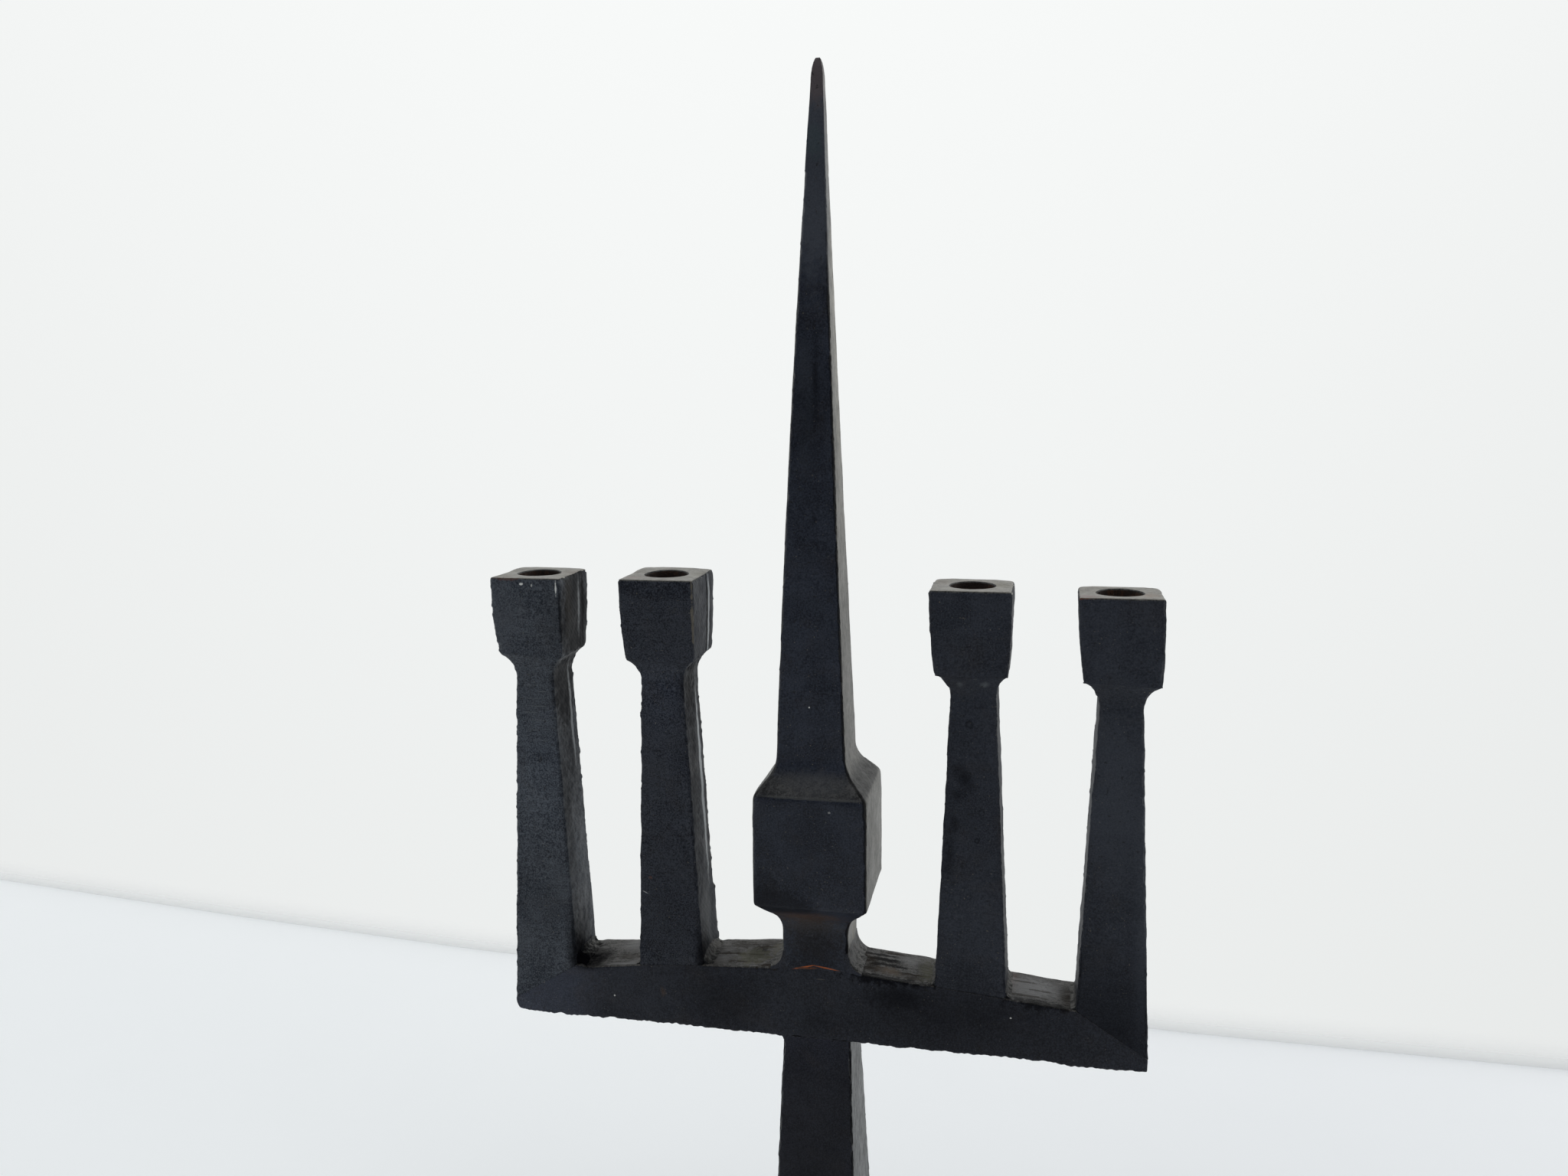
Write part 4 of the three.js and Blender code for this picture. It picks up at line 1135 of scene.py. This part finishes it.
def drill(piece, diameter, bottom, top):
    bpy.ops.mesh.primitive_cylinder_add(vertices=64, radius=diameter / 2 * mm, depth=(top - bottom) * mm,
                                        location=(stem["x"] * mm, 0, (top + bottom) / 2 * mm))
    bit = bpy.context.object
    cut = piece.modifiers.new("drill", "BOOLEAN")
    cut.operation = "DIFFERENCE"
    cut.solver = "EXACT"
    cut.object = bit
    bpy.context.view_layer.objects.active = piece
    bpy.ops.object.modifier_apply(modifier=cut.name)
    bpy.data.objects.remove(bit)
    piece.select_set(True)


def makeBase():
    piece = startPlate("base_forging", base["width"] / 2 * mm, base["depth"] / 2 * mm)
    extrude(0, 0, base["thickness"] * mm)
    pickEdges(lambda low, high: high.z - low.z > 5 * mm)
    roundPicked(base["corner"], 6)
    pickEdges(lambda low, high: low.z > (base["thickness"] - 1) * mm)
    roundPicked(base["topEdge"], 5)
    pickEdges(lambda low, high: high.z < 1 * mm)
    roundPicked(base["bottomEdge"], 2)
    pickFaces(lambda middle, normal: max(abs(normal.x), abs(normal.y), abs(normal.z)) > 0.99)
    bpy.ops.mesh.subdivide(number_cuts=1)
    divideAll(base["cell"] * mm)
    closeUp()

    def upper(place, normal):
        return 1.0 if place.z > 3 else 0.0

    workSurface(piece, [
        {"size": 24, "height": 0.8, "depth": 1, "level": 0.7, "where": upper},
        {"size": 5, "height": 0.35, "depth": 3, "level": 0.7, "where": upper},
    ])
    drill(piece, base["counterbore"], -1, base["counterboreDepth"])
    drill(piece, base["hole"], 1, base["thickness"] + 2)
    dress(piece, ironFinish("baseIron", {
        "brownShare": 0.3, "patch": 40, "mottle": 5, "top": (0.030, 0.031, 0.032, 1), "topDark": 0.55,
        "topSpread": 0.25}))
    finishPiece(piece, "base_plate")


makeBase()


# Welds: a lumpy bead drawn along y in the corner between two faces

weldLook = {
    "dark": (0.004, 0.004, 0.005, 1), "light": (0.060, 0.062, 0.062, 1), "brown": (0.050, 0.034, 0.020, 1),
    "top": (0.048, 0.045, 0.038, 1), "brownShare": 0.6, "roughness": (0.42, 0.66), "patch": 9, "mottle": 2.5,
    "bump": 0.2, "grainBump": 0.08, "topShine": 0.4, "sideShine": 0.35, "topDark": 0.1,
}
sootyLook = {**weldLook, "top": (0.10, 0.10, 0.09, 1)}
greyLook = {**weldLook, "light": (0.125, 0.125, 0.125, 1), "top": (0.105, 0.102, 0.096, 1), "brownShare": 0.35}
weldIron = ironFinish("weldIron", weldLook, [
    # Painted shade with soot in the corner by post 2's foot
    haze((-55, -9, 268), (12, 14, 12), sootAndShade, 0.8, 0.8, shine=0.05),
])
shadedSootyWeld = ironFinish("shadedSootyWeldIron", sootyLook, [
    # Painted shadow with soot in front of and around the bead in post 1's corner
    haze((-126, -10, 268), (14, 28, 16), sootAndShade, ragged=1.0, shine=0),
    patch((-126, -11, 268), (12, 9, 12), sootAndShade, ragged=0.6, shine=0),
    patch((-127, -2, 270), (2.6, 1.4, 1.6), palePaste, 0.8, 2.4, shine=0.6),
    patch((-128, 4, 271.5), (2.2, 1.6, 1.6), bloom, 0.9, 2.4, shine=0.6),
    patch((-126.5, -8, 268.5), (1.6, 1.0, 1.2), palePaste, 0.7, 2.4, shine=0.6),
])
greyWeld = ironFinish("greyWeldIron", greyLook, [
    patch((20, -14.8, 280), (4, 1.3, 14), sootAndShade, 0.8),
])
endIron = ironFinish("weldEndIron", {"ior": 1.5})

weld = {"steps": 56, "curve": 12, "fill": 0.12, "root": 2.0, "endCuts": 3, "angle": 60}
flush = bar["depth"] / 2 - 0.05      # half the depth of a bead that ends level with the bar's faces
short = bar["depth"] / 2 - 2


# The corner and the two directions are in the x, z plane: the bead runs along one face and rises up the other
def drawBead(label, corner, alongFloor, alongWall, run, rise, halfDepth, lumps, finish):
    curve = []
    for step in range(weld["curve"] + 1):
        t = step / weld["curve"]
        middle = 2 * t * (1 - t) * weld["fill"]
        curve.append(corner + alongFloor * run * ((1 - t) ** 2 + middle) + alongWall * rise * (t ** 2 + middle))
    ring = curve + [curve[-1] - alongFloor * weld["root"], corner - (alongFloor + alongWall) * weld["root"],
                    curve[0] - alongWall * weld["root"]]
    bpy.ops.mesh.primitive_circle_add(vertices=len(ring), fill_type="NGON", radius=1)
    piece = bpy.context.object
    piece.name = piece.data.name = f"bead_{label}"
    for vertex, (x, z) in zip(piece.data.vertices, ring):
        vertex.co = Vector((x * mm, -halfDepth * mm, z * mm + barHeight))
    bpy.ops.object.mode_set(mode="EDIT")
    bpy.ops.mesh.select_all(action="SELECT")
    for step in range(weld["steps"]):
        extrude(0, 2 * halfDepth / weld["steps"] * mm, 0)
    pickFaces(lambda middle, normal: abs(normal.y) > 0.9)
    bpy.ops.mesh.quads_convert_to_tris(quad_method="BEAUTY", ngon_method="BEAUTY")
    bpy.ops.mesh.subdivide(number_cuts=weld["endCuts"])
    closeUp()

    def lumpy(place, normal):
        return max(0.0, 1 - 2 * abs(normal.y)) if halfDepth == flush else 1.0

    workSurface(piece, (skin() if halfDepth == flush else []) + [
        {"size": 5, "height": lumps, "depth": 1, "level": 0.45, "where": lumpy},
        {"size": 1.8, "height": lumps * 0.6, "depth": 2, "where": lumpy},
    ])
    dress(piece, finish, endIron)
    for face in piece.data.polygons:
        face.material_index = 1 if halfDepth == flush and abs(face.normal.y) > 0.7 else 0
    finishPiece(piece, f"weld_{label}", weld["angle"])


def postBead(name, label, leg, lumps, finish):
    out = math.copysign(1, postTable[name]["root"][0])
    side = -out if label == "inwards" else out
    corner, lean = sideFoot(postTable[name], side)
    floor = Vector((side, -side * out * bar["slope"])).normalized()
    drawBead(f"{name}_{label}", corner, floor, Vector((lean, 1)).normalized(), leg, leg, short, lumps, finish)


def spireBead(label, side, run, rise, finish):
    x = spire["neckX"] + side * spire["neckWidth"] / 2
    floor = Vector((side, -bar["slope"])).normalized()
    drawBead(f"spire_{label}", Vector((x, barTop(x))), floor, Vector((0, 1)), run, rise, flush, 0.8, finish)


postBead("outer_left", "inwards", 5, 3.0, shadedSootyWeld)
postBead("inner_left", "inwards", 5, 1.4, weldIron)
for name, label in (("inner_left", "outwards"), ("inner_right", "inwards"), ("inner_right", "outwards"),
                    ("outer_right", "inwards")):
    postBead(name, label, 2.5, 0.8, weldIron)
spireBead("left", -1, 6.6, 8.2, weldIron)
spireBead("right", 1, 7.2, 9.8, greyWeld)
drawBead("stem_left", Vector((stem["x"] - stem["topWidth"] / 2, 0)), Vector((-1, 0)), Vector((0, -1)), 2.3, 2.3,
         flush, 0.4, weldIron)
print("welds done")


# Fasteners keep their CAD shape and get turned, oiled steel

steel = {"dark": (0.20, 0.205, 0.21, 1), "light": (0.33, 0.335, 0.34, 1), "oil": (0.09, 0.06, 0.035, 1),
         "oilShare": 0.6, "roughness": (0.28, 0.5), "lineBump": 0.4}


def steelFinish():
    material, tree, shader, place = startMaterial("boltSteel")
    lines = noise(tree, stretch(tree, place, (1, 1, 14)), 6, 4, 0.6)
    oil = noise(tree, place, 7, 4, 0.6, 0.4)
    colour = blendColour(tree, spread(tree, lines, 0.35, 0.65), steel["dark"], steel["light"])
    oily = times(tree, spread(tree, oil, 0.55, 0.7), steel["oilShare"])
    connect(tree, shader, {
        "Base Color": blendColour(tree, oily, colour, steel["oil"]), "Metallic": 1,
        "Roughness": spread(tree, oil, 0.3, 0.7, *steel["roughness"]),
        "Normal": bumped(tree, steel["lineBump"], 0.1 * mm, lines)})
    return material


boltSteel = steelFinish()
for name in ("centre_stud", "foot_bolt", "foot_washer"):
    dress(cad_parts[name], boltSteel)


# Floor, world and lamps, in metres

# The floor's back edge is the crease where the table meets the wall
stage = {
    "back": ((3, 0.452), (0.516, 0.452), (0.248, 0.454), (-0.1, 0.468), (-0.453, 0.4865), (-0.736, 0.511),
             (-1.043, 0.544), (-3, 0.755)),
    "front": ((-3, -5.5), (3, -5.5)), "crease": 0.030, "creaseShare": 0.6, "creaseTone": (0.85, 0.86, 0.86, 1),
    "floorLeft": (0.968, 0.980, 0.976, 1), "floorRight": (0.912, 0.922, 0.926, 1), "fibre": 0.015,
}


# The wall is only the world's colour; a low strip that fades upwards shades its foot
def creaseFinish():
    material, tree, shader, place = startMaterial("crease")
    height = addNode(tree, "ShaderNodeSeparateXYZ", {0: place}).outputs[2]
    fade = spread(tree, height, 0, stage["crease"], 1, 0, "LINEAR")
    connect(tree, shader, {"Alpha": times(tree, times(tree, fade, fade), stage["creaseShare"]),
                           "Base Color": stage["creaseTone"], "Roughness": 1})
    return material


def paperFinish():
    material, tree, shader, place = startMaterial("tablePaper")
    across = addNode(tree, "ShaderNodeSeparateXYZ", {0: place}).outputs[0]
    # The floor is painted lighter at the left and darker at the right, painted light that evens out the lamp from
    # the right
    paintedLightTint = blendColour(tree, spread(tree, across, -0.5, 0.45), stage["floorLeft"], stage["floorRight"])
    fibre = times(tree, noise(tree, place, 60, 4, 0.5), stage["fibre"])
    connect(tree, shader, {"Base Color": blendColour(tree, fibre, paintedLightTint, (0, 0, 0, 1)), "Roughness": 0.8})
    return material


def setStage():
    ring = stage["back"] + stage["front"]
    bpy.ops.mesh.primitive_circle_add(vertices=len(ring), fill_type="NGON", radius=1)
    floor = bpy.context.object
    floor.name = "floor"
    for vertex, (x, y) in zip(floor.data.vertices, ring):
        vertex.co = (x, y, 0)
    bpy.ops.object.mode_set(mode="EDIT")
    pickEdges(lambda low, high: min(low.y, high.y) > 0.4)
    extrude(0, 0, stage["crease"])
    bpy.ops.object.mode_set(mode="OBJECT")
    dress(floor, paperFinish(), creaseFinish())
    for face in floor.data.polygons:
        face.material_index = 0 if abs(face.normal.z) > 0.5 else 1


room = {
    "light": (0.955, 0.98, 1.0, 1), "strength": 0.96,
    "wall": (0.860, 0.876, 0.870, 1), "wallLow": (0.840, 0.858, 0.852, 1), "wallHigh": (0.940, 0.955, 0.948, 1),
    "rise": (-0.45, 0.30), "right": (0.977, 0.2135, 0), "sideFall": 0.15,
}


def setWorld():
    world = bpy.data.worlds.new("room")
    bpy.context.scene.world = world
    world.use_nodes = True
    tree = world.node_tree
    tree.nodes.clear()
    ray = addNode(tree, "ShaderNodeLightPath").outputs
    seen = calculate(tree, "MAXIMUM", ray["Is Camera Ray"], ray["Is Glossy Ray"])
    seen = calculate(tree, "MAXIMUM", seen, ray["Is Transmission Ray"])
    light = addNode(tree, "ShaderNodeBackground", {"Color": room["light"], "Strength": room["strength"]})
    # what the camera sees of the wall is lighter towards the top and the middle
    gaze = addNode(tree, "ShaderNodeTexCoord").outputs["Generated"]
    height = addNode(tree, "ShaderNodeSeparateXYZ", {0: gaze}).outputs[2]
    aside = vectorMath(tree, "DOT_PRODUCT", gaze, room["right"])["Value"]
    graded = blendColour(tree, spread(tree, height, *room["rise"], kind="LINEAR"), room["wallLow"], room["wallHigh"])
    graded = blendColour(tree, times(tree, times(tree, aside, aside), room["sideFall"]), graded, (0, 0, 0, 1))
    graded = blendColour(tree, ray["Is Camera Ray"], room["wall"], graded)
    wall = addNode(tree, "ShaderNodeBackground", {"Color": graded, "Strength": 1.0})
    both = addNode(tree, "ShaderNodeMixShader", {0: seen, 1: light.outputs[0], 2: wall.outputs[0]})
    addNode(tree, "ShaderNodeOutputWorld", {"Surface": both.outputs[0]})


card = {"halfWidth": 2.6, "halfHeight": 1.6, "place": (0.7, -2.2, 1.595), "felt": (0.055, 0.070, 0.105, 1)}


# A dark card in front keeps the room behind the camera out of the front faces
def setCard():
    piece = startPlate("card", 1, 1)
    bpy.ops.transform.rotate(value=math.pi / 2, orient_axis="X", center_override=(0, 0, 0))
    scaleAbout((0, 0, 0), card["halfWidth"], 1, card["halfHeight"])
    bpy.ops.transform.translate(value=card["place"])
    bpy.ops.object.mode_set(mode="OBJECT")
    felt = bpy.data.materials.new("felt")
    felt.use_nodes = True
    connect(felt.node_tree, felt.node_tree.nodes["Principled BSDF"], {"Base Color": card["felt"], "Roughness": 1})
    dress(piece, felt)
    piece.visible_camera = False


lamp = {"place": (1.8, 1.0, 1.3), "aim": (0, 0, 0.4), "size": 1.4, "power": 6, "colour": (1.0, 0.98, 0.95)}


def setLamp():
    data = bpy.data.lights.new("windowRight", "AREA")
    data.energy = lamp["power"]
    data.size = lamp["size"]
    data.color = lamp["colour"]
    window = bpy.data.objects.new("windowRight", data)
    bpy.context.scene.collection.objects.link(window)
    window.location = lamp["place"]
    window.rotation_mode = "QUATERNION"
    window.rotation_quaternion = (Vector(lamp["aim"]) - Vector(lamp["place"])).to_track_quat("-Z", "Y")


setStage()
setWorld()
setCard()
setLamp()
bpy.context.scene.view_settings.view_transform = "Standard"
